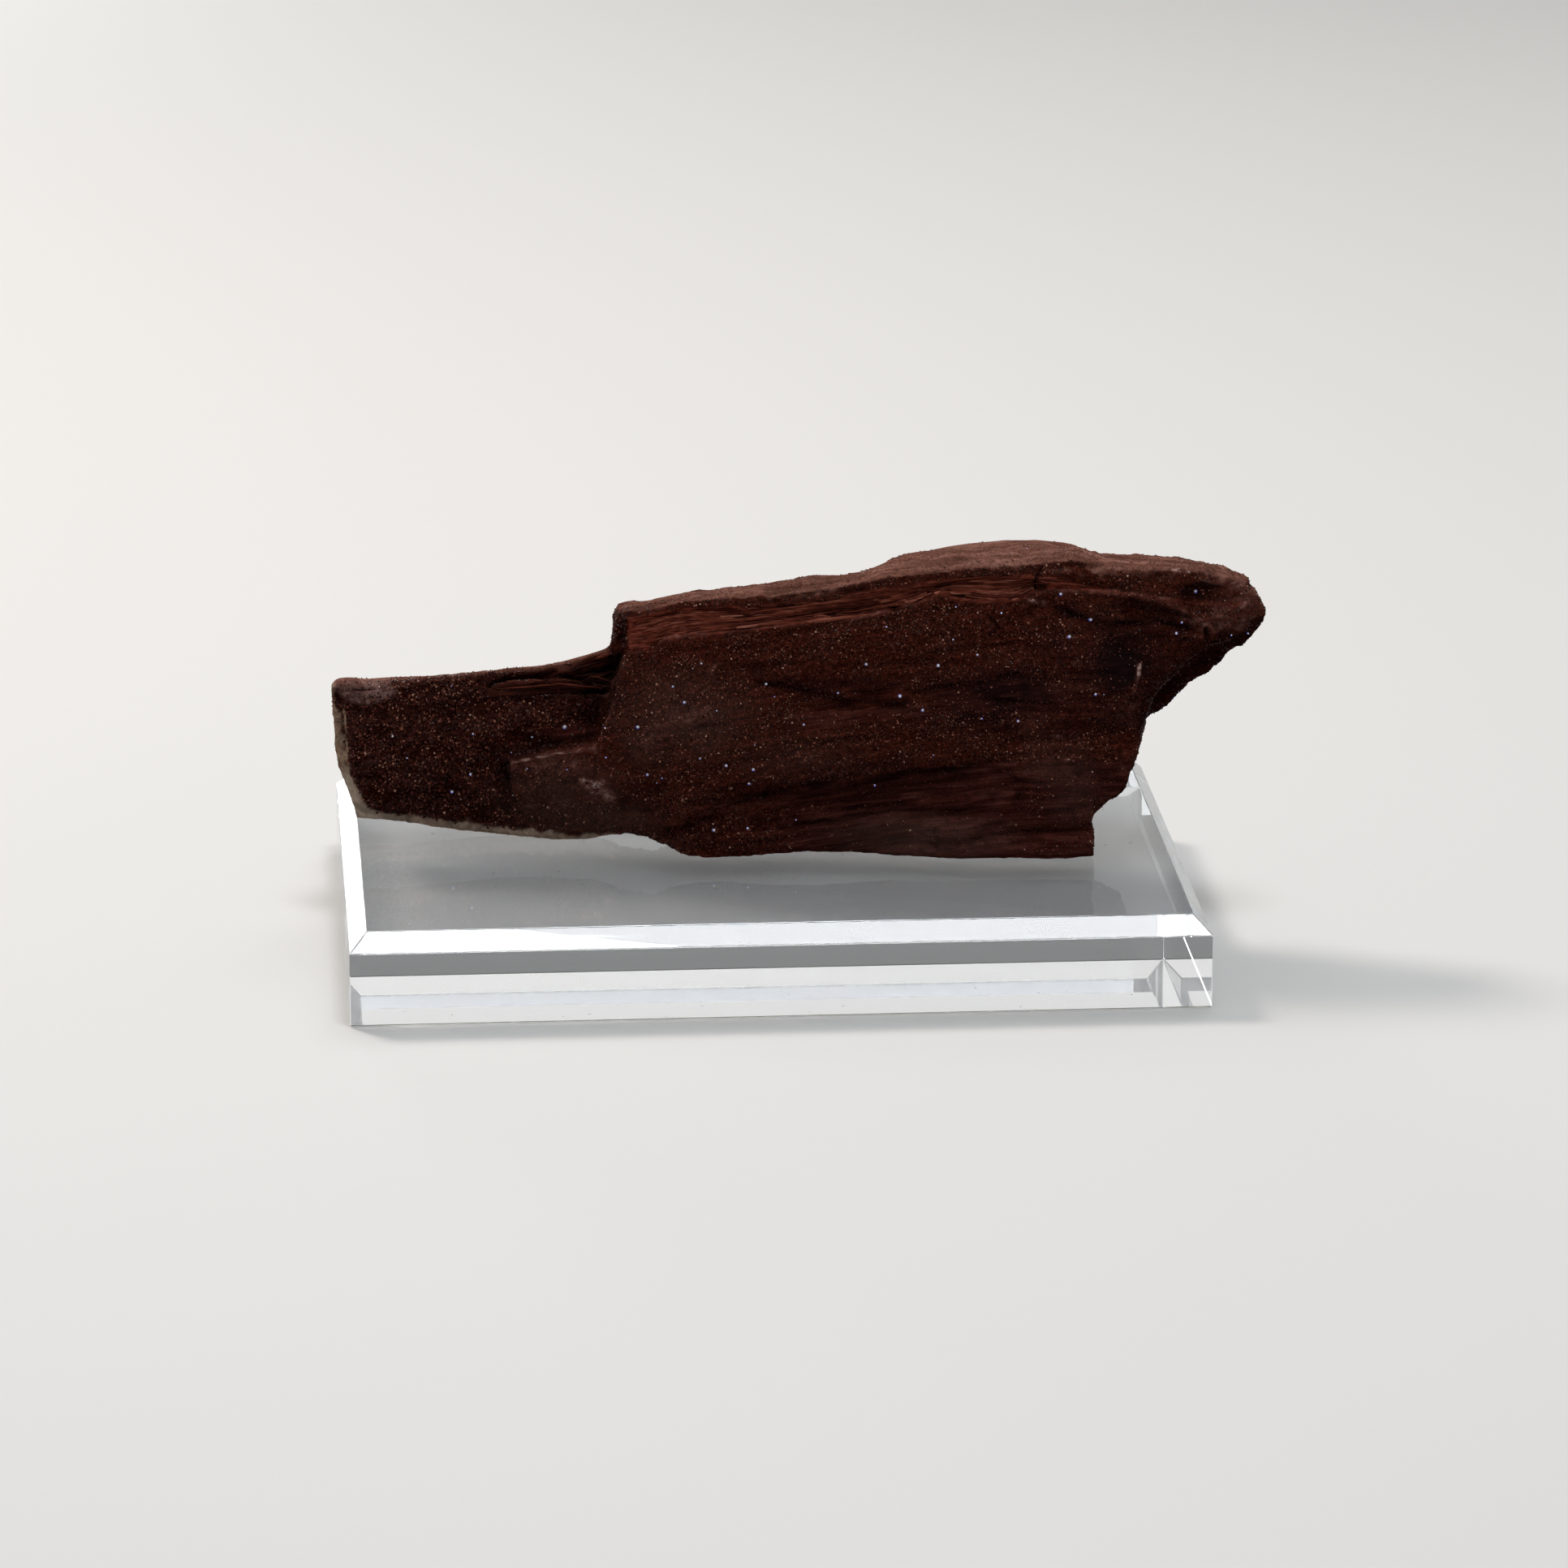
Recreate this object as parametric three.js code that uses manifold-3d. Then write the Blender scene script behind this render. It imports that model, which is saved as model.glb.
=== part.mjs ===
// Petrified wood on a clear display block.
//
// The wood is one splinter of a silicified trunk. It split along its grain into plates and ledges,
// and it stands on its narrow lower edge, along the middle of a clear acrylic block whose four top
// edges are chamfered.
//
// Millimetres, +Z up. The origin is the centre of the block's underside, +X runs along the block
// and +Y to its back. Places on the wood are u along the grain from the middle of the block, v
// towards the back and h above the block's top face, before the wood is turned on the block.

import * as THREE from 'three';
import { ConvexGeometry } from 'three/addons/geometries/ConvexGeometry.js';
import { ImprovedNoise } from 'three/addons/math/ImprovedNoise.js';
import { mergeVertices } from 'three/addons/utils/BufferGeometryUtils.js';
import Module from 'manifold-3d';

const { lerp, clamp, smoothstep, degToRad } = THREE.MathUtils;

// The block: stock acrylic, with its top edges milled at 45 degrees and polished.
const BLOCK_LENGTH = 177.8;
const BLOCK_WIDTH = 127;
const BLOCK_THICKNESS = 19.05;
const BLOCK_CHAMFER = 3.7;

// How the wood stands on the block.
const WOOD_TURN = degToRad(-4.25);
const SEAT_GAP = 0.3;

// How finely a slab of the wood is cut: along it, up its faces and through its thickness. The
// broken face at each end closes in through rings of these sizes.
const FINE = { along: 5.0, up: 2.8, through: 3 };
const PLAIN = { along: 6.0, up: 4.4, through: 4 };
const END_RINGS = [0.68, 0.34];

// Roughness of the broken stone. Ridges run with the grain, which climbs to the right; lumps do not.
const GRAIN_RISE = 0.17;
const RIDGE = { height: 0.9, along: 24, across: 4 };
const LUMP = { height: 0.8, size: 7 };
const END_ROUGHNESS = 0.6;

// ------------------------------------------------------------------------- relief on the faces

const noise = new ImprovedNoise();

// How far the broken surface stands proud of its smooth form.
function roughness(u, v, h) {
  const ridge = noise.noise(u / RIDGE.along, v / RIDGE.across, (h - GRAIN_RISE * u) / RIDGE.across);
  const lump = noise.noise(u / LUMP.size, v / LUMP.size, h / LUMP.size);
  return RIDGE.height * ridge + LUMP.height * lump;
}

// A furrow along a line of [u, h] points, cut to a depth at its middle.
function furrow(line, halfWidth, depth) {
  const distanceTo = (u, h, [ua, ha], [ub, hb]) => {
    const along = (u - ua) * (ub - ua) + (h - ha) * (hb - ha);
    const k = clamp(along / ((ub - ua) ** 2 + (hb - ha) ** 2), 0, 1);
    return Math.hypot(u - lerp(ua, ub, k), h - lerp(ha, hb, k));
  };
  return (u, h) => {
    const gaps = line.slice(1).map((end, i) => distanceTo(u, h, line[i], end));
    return depth * (1 - smoothstep(Math.min(...gaps), 0, halfWidth));
  };
}

// An oval hollow, deepest in its middle. A negative depth makes a swelling.
function hollow([u0, h0], [reachU, reachH], depth) {
  return (u, h) => depth * (1 - smoothstep(Math.hypot((u - u0) / reachU, (h - h0) / reachH), 0, 1));
}

const reliefOf = (marks) => (u, h) => marks.reduce((sum, mark) => sum + mark(u, h), 0);

// ---------------------------------------------------------------------- one slab of split wood

// A rib is a cross-section of a slab: the line up its outline as [u, h] points, its front and back
// faces as depths v, each listed evenly from the foot to the top, and the rise of its top edge
// from front to back.
const rib = (line, front, back, crown = [0, 0]) => ({ line, front, back, crown });

// Reads a list of evenly spaced numbers or points at k, from 0 to 1.
function sample(list, k) {
  const place = clamp(k, 0, 1) * (list.length - 1);
  const low = Math.min(Math.floor(place), list.length - 2);
  const part = place - low;
  return Array.isArray(list[0])
    ? list[low].map((value, axis) => lerp(value, list[low + 1][axis], part))
    : lerp(list[low], list[low + 1], part);
}

// Rows up a face: evenly spaced, with one more close to each edge so that the edge stays crisp.
function rowsUp(height, step, edge) {
  const rows = Math.max(2, Math.round(height / step));
  const near = Math.min(edge / height, 0.25);
  const inner = Array.from({ length: rows - 1 }, (_, i) => (i + 1) / rows);
  return [0, near, ...inner.filter((k) => Math.min(k, 1 - k) > 1.6 * near), 1 - near, 1];
}

// The ring round a slab at a place between two ribs: up the front, over, down the back, under.
function ringBetween(slab, ribA, ribB, mix, rows) {
  const { edge, cut, relief = () => 0, sole = [0, 0] } = slab;
  const between = (key, k) => lerp(sample(ribA[key], k), sample(ribB[key], k), mix);
  const outline = (k) => {
    const [a, b] = [sample(ribA.line, k), sample(ribB.line, k)];
    return [lerp(a[0], b[0], mix), lerp(a[1], b[1], mix)];
  };
  const corner = (k) => (k === 0 || k === 1 ? edge : 0);
  const front = rows.map((k) => {
    const [u, h] = outline(k);
    const v = between('front', k);
    return [u, v + corner(k) + relief(u, h) - roughness(u, v, h), h];
  });
  const back = rows.map((k) => {
    const [u, h] = outline(k);
    const v = between('back', k);
    const rise = { 0: sole.at(-1), 1: between('crown', 1) }[k] ?? 0;
    return [u, v - corner(k) + roughness(u, v, h), h + rise];
  });
  const through = Array.from({ length: cut.through - 1 }, (_, i) => (i + 1) / cut.through);
  const over = through.map((w) => {
    const [u, h] = outline(1);
    const v = lerp(between('front', 1), between('back', 1), w);
    return [u, v, h + between('crown', w) + roughness(u, v, h)];
  });
  const under = through.map((w) => {
    const [u, h] = outline(0);
    return [u, lerp(between('front', 0), between('back', 0), w), h + sample(sole, w)];
  });
  return [...front, ...over, ...back.reverse(), ...under.reverse()];
}

const middleOf = (ring) => [0, 1, 2].map((axis) => (
  ring.reduce((sum, point) => sum + point[axis], 0) / ring.length
));

// The ring drawn in towards its middle, for the broken face at an end of the slab.
function drawnIn(ring, size) {
  const middle = middleOf(ring);
  return ring.map((point) => {
    const [u, v, h] = point.map((value, axis) => lerp(middle[axis], value, size));
    return [u + END_ROUGHNESS * roughness(h, v, u), v, h];
  });
}

// Joins rings of equal length into one closed surface, with a point in the middle of each end.
function loft(rings) {
  const around = rings[0].length;
  const last = rings.length - 1;
  const points = [...rings.flat(), middleOf(rings[0]), middleOf(rings[last])];
  const at = (ring, i) => ring * around + (i % around);
  const faces = [];
  for (let i = 0; i < around; i += 1) {
    for (let ring = 0; ring < last; ring += 1) {
      const [a, b, c, d] = [at(ring, i), at(ring, i + 1), at(ring + 1, i + 1), at(ring + 1, i)];
      faces.push(a, c, b, a, d, c);
    }
    faces.push(points.length - 2, at(0, i), at(0, i + 1));
    faces.push(points.length - 1, at(last, i + 1), at(last, i));
  }
  const geometry = new THREE.BufferGeometry();
  geometry.setAttribute('position', new THREE.Float32BufferAttribute(points.flat(), 3));
  geometry.setIndex(faces);
  return geometry;
}

// A slab of split wood, from the ribs along it, left to right.
function slabGeometry(slab) {
  const { ribs, cut, edge } = slab;
  const gap = ([ua, ha], [ub, hb]) => Math.hypot(ub - ua, hb - ha);
  const height = Math.max(...ribs.map(({ line }) => gap(line[0], line.at(-1))));
  const waist = ({ line }) => sample(line, 0.5);
  const rows = rowsUp(height, cut.up, edge);
  const rings = [ringBetween(slab, ribs[0], ribs[0], 0, rows)];
  for (let i = 1; i < ribs.length; i += 1) {
    const steps = Math.max(1, Math.round(gap(waist(ribs[i - 1]), waist(ribs[i])) / cut.along));
    for (let j = 1; j <= steps; j += 1) {
      rings.push(ringBetween(slab, ribs[i - 1], ribs[i], j / steps, rows));
    }
  }
  const [first, last] = [rings[0], rings.at(-1)];
  return loft([
    ...END_RINGS.map((size) => drawnIn(first, size)).reverse(),
    ...rings,
    ...END_RINGS.map((size) => drawnIn(last, size)),
  ]);
}

// A splinter from one [u, v, h] place to another, flatter than it is deep and thickest in its middle.
const SPLINTER_SIDES = 6;
const SPLINTER_FLATNESS = 0.7;
const SPLINTER_RADII = [[0, 0.3], [0.35, 0.5], [0.7, 0.45], [1, 0.2]];

function splinterGeometry([from, to, width]) {
  return loft(SPLINTER_RADII.map(([k, radius]) => (
    Array.from({ length: SPLINTER_SIDES }, (_, i) => {
      const turn = (i / SPLINTER_SIDES) * 2 * Math.PI;
      const [u, v, h] = from.map((value, axis) => lerp(value, to[axis], k));
      const size = radius * width;
      return [u, v - size * Math.sin(turn), h - SPLINTER_FLATNESS * size * Math.cos(turn)];
    })
  )));
}

// ----------------------------------------------------------------------------- the wood's slabs

// The body, from the crusted left end to the tip. Its top edge steps up where a piece broke away,
// and its foot climbs in steps below the overhanging right end.
const body = {
  cut: PLAIN,
  edge: 0.9,
  sole: [0, 0.6, 3.2],
  relief: reliefOf([
    furrow([[-58, 32.8], [-33, 33.4]], 1.9, 2.8),
    hollow([96, 41], [9, 6], 1.5),
  ]),
  ribs: [
    rib([[-86.3, 3.9], [-90.0, 19.0], [-90.8, 33.0]], [5, 3.5, 4.0], [8, 13, 11], [0, 0.4, -1.2]),
    rib([[-83.0, 3.6], [-84.5, 20.0], [-84.1, 33.4]], [5, 3.5, 4.5], [9, 14, 11], [0, 0.4, -1.2]),
    rib([[-76.0, 3.0], [-77.0, 34.0]], [4.5, 3.5, 4.5], [9, 14, 11], [0, 0.3, -1.5]),
    rib([[-68.0, 2.5], [-69.0, 34.8]], [4, 3.5, 4.5], [9, 14, 10], [0, 0.3, -2]),
    rib([[-60.0, 2.2], [-60.0, 35.7]], [4, 4, 4.4], [8, 14.5, 10], [0, 0, -2]),
    rib([[-48.0, 2.1], [-46.5, 36.6]], [2, 4, 4.2], [7, 14, 10.5], [0, 0, -2]),
    rib([[-43.6, 2.1], [-41.6, 37.5]], [1, 3.5, 4.6], [7, 14, 11], [0, 0, -2]),
    rib([[-38.5, 2.4], [-35.0, 39.4]], [0, 2.5, 5.4], [7, 14, 11], [0, 0, -2]),
    rib([[-35.0, 2.7], [-31.6, 40.8]], [-1, 0.6, 4.0], [7, 14, 11], [0, 0, -2]),
    rib([[-29.0, 2.7], [-30.8, 48.6]], [-3, -3.0, -1.0], [7, 14, 9], [0, 0, -1]),
    rib([[-25.0, 2.8], [-28.0, 50.6]], [-5, -6.0, -4.0], [7, 14, 9]),
    rib([[-18.0, 2.0], [-20.0, 52.0]], [-7, -8.0, -4.6], [6, 14, 8]),
    rib([[-8.0, 1.6], [-8.0, 53.8]], [-8, -9.5, -5.4], [4, 13.5, 8]),
    rib([[7.0, 1.6], [7.0, 55.2]], [-8, -10, -5.8], [4, 13, 8]),
    rib([[20.0, 1.6], [20.0, 57.0]], [-8, -10.5, -6.4], [4, 13, 8]),
    rib([[32.0, 1.6], [32.0, 59.4]], [-8, -10.5, -7.4], [4, 12.5, 9]),
    rib([[46.0, 1.6], [46.0, 61.6]], [-8, -10.5, -8.0], [4, 12.5, 10]),
    rib([[60.0, 1.6], [55.0, 62.0]], [-8, -10.0, -8.4], [4, 12.5, 10]),
    rib([[69.2, 1.6], [61.0, 62.2]], [-8, -9.0, -8.4], [4, 12, 9.5]),
    rib([[69.8, 5.2], [65.0, 61.8]], [-7, -9.0, -8.4], [4, 12, 9.5]),
    rib([[70.2, 8.8], [69.0, 61.2]], [-6, -9.0, -8.4], [4, 12, 9]),
    rib([[75.2, 11.4], [75.6, 60.8]], [-5, -8.8, -8.2], [4, 11.5, 9]),
    rib([[79.3, 20.4], [81.6, 60.4]], [-3, -8.0, -8.0], [5, 11, 9]),
    rib([[81.8, 26.6], [86.6, 60.2]], [-1, -7.0, -7.6], [5, 11, 9]),
    rib([[88.4, 31.2], [91.8, 59.6]], [1, -5.6, -6.8], [6, 10.5, 8]),
    rib([[94.6, 35.4], [96.6, 58.2]], [1, -4.8, -5.2], [6, 9, 7]),
    rib([[98.8, 41.0], [99.6, 57.0]], [0, -4.4, -4.0], [5, 8, 5.5]),
    rib([[101.8, 42.8], [101.8, 56.0]], [-0.5, -4.2, -3.0], [4, 6.5, 4.5]),
    rib([[104.0, 44.8], [104.2, 54.6]], [0, -3.0, -1.5], [3, 5, 3.5]),
    rib([[105.8, 47.4], [106.6, 50.6]], [-0.5, -1.0, -0.6], [3, 3.4, 3]),
  ],
};

// The crest: the layer above the recessed band of bare grain. Right of the middle it thickens
// into a brow that hangs over the face below, and it ends round the hollow near the tip.
const crest = {
  cut: { along: 4.6, up: 2.4, through: 5 },
  edge: 0.7,
  sole: [0, -2, -3, -2],
  relief: reliefOf([hollow([91.6, 55.6], [3.8, 3.6], 3.2)]),
  ribs: [
    rib([[-30.9, 46.8], [-30.7, 49.6]], [1.0, 1.5], [8, 8], [0, 0.3, 0]),
    rib([[-28.4, 49.4], [-28.6, 51.2]], [-4.2, -3.6], [8, 8.5], [0, 0, -0.8]),
    rib([[-23.5, 50.4], [-23.5, 51.9]], [-5.0, -4.6], [9, 9], [0, 0, -1.6]),
    rib([[-16.8, 51.6], [-16.8, 53.8]], [-6.0, -5.6], [10, 9.5], [0, 0.7, -2]),
    rib([[-11.0, 52.3], [-11.0, 54.5]], [-6.6, -6.2], [10, 9.5], [0, 1.2, 0, -2.2]),
    rib([[-3.0, 52.8], [-3.0, 55.4]], [-7.2, -6.8], [10, 9.5], [0, 1.2, 0.4, -2.2]),
    rib([[11.0, 54.2], [11.0, 56.6]], [-7.6, -7.2], [10, 9.5], [0, 1.6, 1.0, -2.0]),
    rib([[21.0, 55.8], [21.0, 58.7]], [-8.2, -7.8], [10, 9.5], [0, 0.4, -0.8, -3.0]),
    rib([[25.0, 56.6], [25.0, 59.8]], [-8.6, -8.4], [10, 9.5], [0, 0.6, -0.2, -2.6]),
    rib([[29.5, 57.4], [29.5, 60.3]], [-8.8, -8.8], [10.5, 10], [0, 1.2, 1.4, -1.4]),
    rib([[35.6, 58.4], [35.6, 60.9]], [-9.0, -9.0], [11, 10.5], [0, 1.4, 2.2, -0.8]),
    rib([[44.0, 60.2], [44.0, 62.0]], [-9.4, -9.2], [12, 11.5], [0, 1.4, 1.8, 0]),
    rib([[51.5, 60.5], [51.5, 62.7]], [-9.8, -9.2], [12, 11.5], [0, 1.2, 1.6, -0.2]),
    rib([[58.5, 59.0], [58.5, 63.4]], [-10.2, -9.2], [12, 11.5], [0, 1.0, 1.4, -0.6]),
    rib([[66.0, 57.4], [66.0, 63.8]], [-10.6, -9.2], [12, 11], [0, 0.6, 0, -1.4]),
    rib([[72.0, 56.2], [72.0, 63.0]], [-10.8, -10.6, -9.2], [12, 10], [0, 0.2, -0.6, -2]),
    rib([[78.5, 55.0], [78.5, 62.2]], [-10.8, -10.6, -9.2], [11.5, 9.5], [0, 0.8, 0, -2]),
    rib([[85.0, 53.6], [84.6, 62.0]], [-10.4, -10.4, -9.0], [11, 9], [0, 0.6, 0, -2]),
    rib([[89.0, 51.4], [88.4, 61.8]], [-9.6, -9.8, -8.6], [10, 8.5], [0, 0.5, 0, -1.6]),
    rib([[93.4, 50.6], [92.8, 61.1]], [-8.2, -8.2, -7.6], [9, 7.5], [0, 0.5, 0, -1.2]),
    rib([[97.6, 49.8], [97.6, 59.2]], [-6.6, -6.6, -5.8], [8, 5.5], [0, 0.9, 0.6, -0.6]),
    rib([[101.0, 49.2], [101.4, 56.6]], [-5.2, -5.0, -3.6], [6, 4.5], [0, 1.3, 1.3, 0]),
    rib([[103.8, 48.8], [104.0, 55.4]], [-3.4, -3.0, -1.6], [4.5, 4], [0, 0.9, 0.8, 0]),
    rib([[105.2, 48.4], [105.4, 51.6]], [-0.8, 0], [3, 2.5]),
  ],
};

// Marks on the front plate: two long furrows that follow the grain above a smooth swelling, a thin
// lip across the middle, and a crack below the crest.
const plateMarks = reliefOf([
  furrow([[-13, 10.5], [-3, 13.6], [21, 16.9], [50, 20.8]], 2.6, 1.9),
  furrow([[2.6, 8.0], [19.3, 10.2], [31, 11.6], [49, 13.2]], 2.3, 1.6),
  furrow([[30, 31.2], [37, 32.4]], 2.4, 1.2),
  furrow([[59, 6], [70, 6]], 1.9, 0.9),
  furrow([[59, 54.6], [68, 52.8], [79, 52.2], [88, 50.6]], 2.2, 2.2),
  hollow([19, 37.5], [8, 3.6], 1.8),
  hollow([40, 6], [15, 5], -1.3),
  hollow([77, 43], [10, 9], 1.2),
  hollow([62, 30], [12, 6], -0.8),
]);

// The front plate: the drusy sheet that makes most of the front, down to the edge it stands on.
const frontPlate = {
  cut: FINE,
  edge: 0.6,
  relief: plateMarks,
  ribs: [
    rib([[-34.8, 2.2], [-34.2, 23.0], [-28.0, 43.2]], [-4.0, -7.6, -7.4, -7.0], [4, 4]),
    rib([[-28.5, 2.8], [-27.0, 24.0], [-23.4, 43.8]], [-5.4, -9.4, -9.2, -7.4], [3, 3]),
    rib([[-24.0, 2.9], [-22.0, 24.0], [-20.6, 46.0]], [-7.4, -10.6, -10.4, -8.0], [2, 2]),
    rib([[-20.4, 1.6], [-19.0, 24.0], [-17.8, 46.8]], [-10.6, -11.6, -11.2, -8.2], [2, 2]),
    rib([[-16.4, 0.5], [-14.5, 47.4]], [-12.8, -12.4, -8.7], [2, 1]),
    rib([[-12.4, 0.0], [-9.7, 48.1]], [-13.6, -13.0, -9.0], [2, 0]),
    rib([[-3.0, 0.0], [2.6, 49.6]], [-13.2, -13.6, -10.0], [2, 0]),
    rib([[10.3, 0.5], [12.8, 51.0]], [-11.6, -13.8, -10.3], [2, 0]),
    rib([[21.0, 0.6], [21.3, 51.8]], [-11.6, -14.0, -10.5], [2.4, 0]),
    rib([[27.0, 0.4], [27.9, 53.4]], [-11.8, -14.0, -10.8], [2.8, 0]),
    rib([[34.4, 0.2], [32.4, 54.8]], [-12.2, -14.0, -11.0], [3, 0]),
    rib([[38.6, 0.0], [37.4, 57.0]], [-13.4, -14.0, -11.0], [3, 0]),
    rib([[43.0, 0.0], [41.3, 56.0]], [-13.8, -13.8, -11.2], [3, 0]),
    rib([[49.0, 0.0], [47.6, 55.3]], [-13.2, -13.6, -11.4], [3, 0]),
    rib([[55.0, 0.0], [54.0, 55.6]], [-13.4, -13.2, -11.6], [3, 0]),
    rib([[60.0, 0.0], [58.6, 57.8]], [-13.8, -13.0, -11.8], [3, 0]),
    rib([[65.4, 0.0], [61.6, 58.0]], [-13.6, -12.8, -12.4, -11.2], [3, 0]),
    rib([[70.4, 0.2], [69.6, 14.8], [67.4, 29.4], [65.6, 43.8], [63.6, 57.4]],
      [-13.2, -12.2, -11.6, -11.2, -9.8], [3, 0]),
  ],
};

// The plate's right end, which overhangs the block. Its lower edge climbs from the contact to the
// tip, so its ribs lie along the grain and follow each other down.
const overhang = {
  cut: { along: 2.8, up: 5.0, through: 3 },
  edge: 0.6,
  relief: plateMarks,
  ribs: [
    rib([[60, 58.2], [70.6, 58.0], [81.2, 56.4], [91.8, 51.8], [102.4, 50.0]],
      [-11.8, -12.2, -11.8, -9.8, -6.2], [0, 0]),
    rib([[60, 54.4], [70.6, 53.6], [81.2, 52.4], [91.8, 49.8], [102.6, 48.8]],
      [-12.0, -12.6, -12.2, -10.2, -6.6], [0, 0]),
    rib([[60, 50.6], [70.6, 50.2], [81.2, 49.2], [91.8, 47.8], [102.2, 47.3]],
      [-12.0, -12.4, -11.8, -10.0, -6.6], [0, 0]),
    rib([[60, 46.4], [77.4, 46.0], [94.4, 44.2]], [-12.0, -12.0, -8.8], [0, 0]),
    rib([[60, 42.2], [75.2, 42.0], [90.2, 41.6]], [-12.0, -12.0, -9.4], [0, 0]),
    rib([[60, 38.0], [74.0, 38.0], [87.6, 38.0]], [-12.0, -12.0, -9.6], [0, 0]),
    rib([[60, 34.0], [72.0, 34.0], [83.6, 34.2]], [-12.0, -12.2, -10.0], [0, 0]),
    rib([[60, 30.0], [80.9, 30.0]], [-12.0, -12.4, -10.2], [0, 0]),
    rib([[60, 25.0], [80.0, 25.0]], [-12.0, -12.6, -10.4], [0, 0]),
    rib([[60, 20.0], [79.0, 20.0]], [-12.0, -12.6, -10.6], [0, 0]),
    rib([[60, 15.6], [77.2, 15.6]], [-12.0, -12.4, -10.6], [1, 0]),
    rib([[60, 12.0], [73.6, 12.0]], [-12.0, -12.2, -10.8], [2, 1]),
    rib([[60, 8.8], [70.2, 8.8]], [-11.6, -11.8, -11.0], [2, 2]),
  ],
};

// The tongue: a thin sheet that runs on from the front plate over the lower left face.
const tongue = {
  cut: FINE,
  edge: 0.5,
  ribs: [
    rib([[-51.0, 5.5], [-53.0, 12.5], [-53.5, 18.8]], [-0.6, -2.2, -2.9, -2.8], [4, 4]),
    rib([[-46.5, 2.6], [-46.7, 20.6]], [-1.2, -3.2, -4.4, -4.4], [4, 4]),
    rib([[-40.6, 2.2], [-40.6, 21.4]], [-2.2, -4.2, -5.9, -5.8], [4, 4]),
    rib([[-33.0, 2.4], [-33.0, 22.9]], [-3.6, -5.6, -7.4, -7.2], [4, 4]),
    rib([[-28.0, 3.4], [-28.0, 22.0]], [-3.6, -6.0, -7.6, -7.4], [3, 3]),
  ],
};

// The left face: the drusy sheet between the crusted end and the front plate. Its right half
// stops short of the body's top edge and leaves a dark ledge below it.
const leftFace = {
  cut: FINE,
  edge: 0.6,
  relief: reliefOf([hollow([-34, 26], [8, 10], 1.4)]),
  ribs: [
    rib([[-85.4, 4.8], [-87.6, 18.0], [-88.2, 31.6]], [3.6, 1.4, 2.2], [9, 9], [0, 0.6]),
    rib([[-82.0, 4.2], [-83.0, 32.3]], [2.8, 0.2, 1.2], [9, 9], [0, 0.6]),
    rib([[-77.0, 3.4], [-77.0, 33.1]], [2.4, -0.5, 1.2], [9, 9], [0, 0.4]),
    rib([[-70.0, 2.5], [-71.0, 34.2]], [2.0, -0.8, 1.6], [8, 8]),
    rib([[-61.7, 1.9], [-61.0, 34.4]], [1.0, -1.0, 1.4], [8, 8]),
    rib([[-58.5, 1.8], [-57.4, 32.6]], [0.6, -1.2, 0.2], [8, 8], [0, -2.6]),
    rib([[-46.0, 1.4], [-46.0, 31.8]], [-1.4, -1.2, 0.2], [8, 8], [0, -2.6]),
    rib([[-36.0, 1.3], [-36.0, 31.8]], [-3.0, -1.0, 0.8], [8, 8], [0, -2.6]),
    rib([[-31.0, 2.4], [-31.0, 31.4]], [-4.0, -1.0, 1.0], [8, 8], [0, -2.6]),
  ],
};

// Two sheets left on the back, with the same torn ends as the front.
const backSheets = [
  {
    cut: PLAIN,
    edge: 0.8,
    ribs: [
      rib([[-74.0, 12.0], [-70.0, 26.0]], [8, 8], [15.2, 15.0]),
      rib([[-52.0, 9.0], [-50.0, 28.0]], [8, 8], [16.0, 15.8]),
      rib([[-20.0, 10.0], [-16.0, 33.0]], [7, 7], [16.0, 15.6]),
      rib([[12.0, 13.0], [18.0, 37.0]], [6, 6], [15.4, 15.2]),
      rib([[34.0, 19.0], [46.0, 38.0]], [6, 6], [14.6, 14.4]),
    ],
  },
  {
    cut: PLAIN,
    edge: 0.8,
    ribs: [
      rib([[14.0, 41.0], [22.0, 52.0]], [4, 4], [13.2, 12.4]),
      rib([[38.0, 36.0], [42.0, 55.0]], [4, 4], [14.4, 13.2]),
      rib([[64.0, 30.0], [66.0, 55.5]], [4, 4], [14.2, 13.2]),
      rib([[78.0, 33.0], [86.0, 54.0]], [4, 4], [12.8, 11.8]),
    ],
  },
];

// The cleft between the broken step and the front plate's left edge.
const cleft = {
  cut: PLAIN,
  edge: 0.4,
  ribs: [
    rib([[-34.6, 35.0], [-33.8, 36.6]], [-6, -6], [5, 5]),
    rib([[-32.6, 33.4], [-31.2, 40.4]], [-6, -6], [7, 7]),
    rib([[-31.0, 34.6], [-28.4, 43.0]], [-6.4, -6.4], [5, 5]),
  ],
};

// Splinters across the dark ledge and up to the broken step: from, to, width.
const splinters = [
  [[-57, 2.8, 32.8], [-41, 2.2, 34.4], 1.9],
  [[-43, 2.4, 34.4], [-32, 3.2, 32.4], 1.9],
  [[-43, 4.4, 35.6], [-31, 5.2, 37.8], 3.0],
  [[-40, 5.0, 37.4], [-30.5, 4.8, 40.2], 2.8],
  [[-38, 3.6, 33.8], [-30.5, 3.2, 36.2], 2.2],
];

// -------------------------------------------------------------------------- joining the slabs

const wasm = await Module();
wasm.setup();

function toSolid(geometry) {
  const merged = mergeVertices(geometry);
  return new wasm.Manifold(new wasm.Mesh({
    numProp: 3,
    vertProperties: merged.getAttribute('position').array,
    triVerts: new Uint32Array(merged.index.array),
  }));
}

function toGeometry(solid) {
  const { vertProperties, triVerts } = solid.getMesh();
  const geometry = new THREE.BufferGeometry();
  geometry.setAttribute('position', new THREE.BufferAttribute(vertProperties, 3));
  geometry.setIndex(new THREE.BufferAttribute(triVerts, 1));
  return geometry;
}

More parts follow.
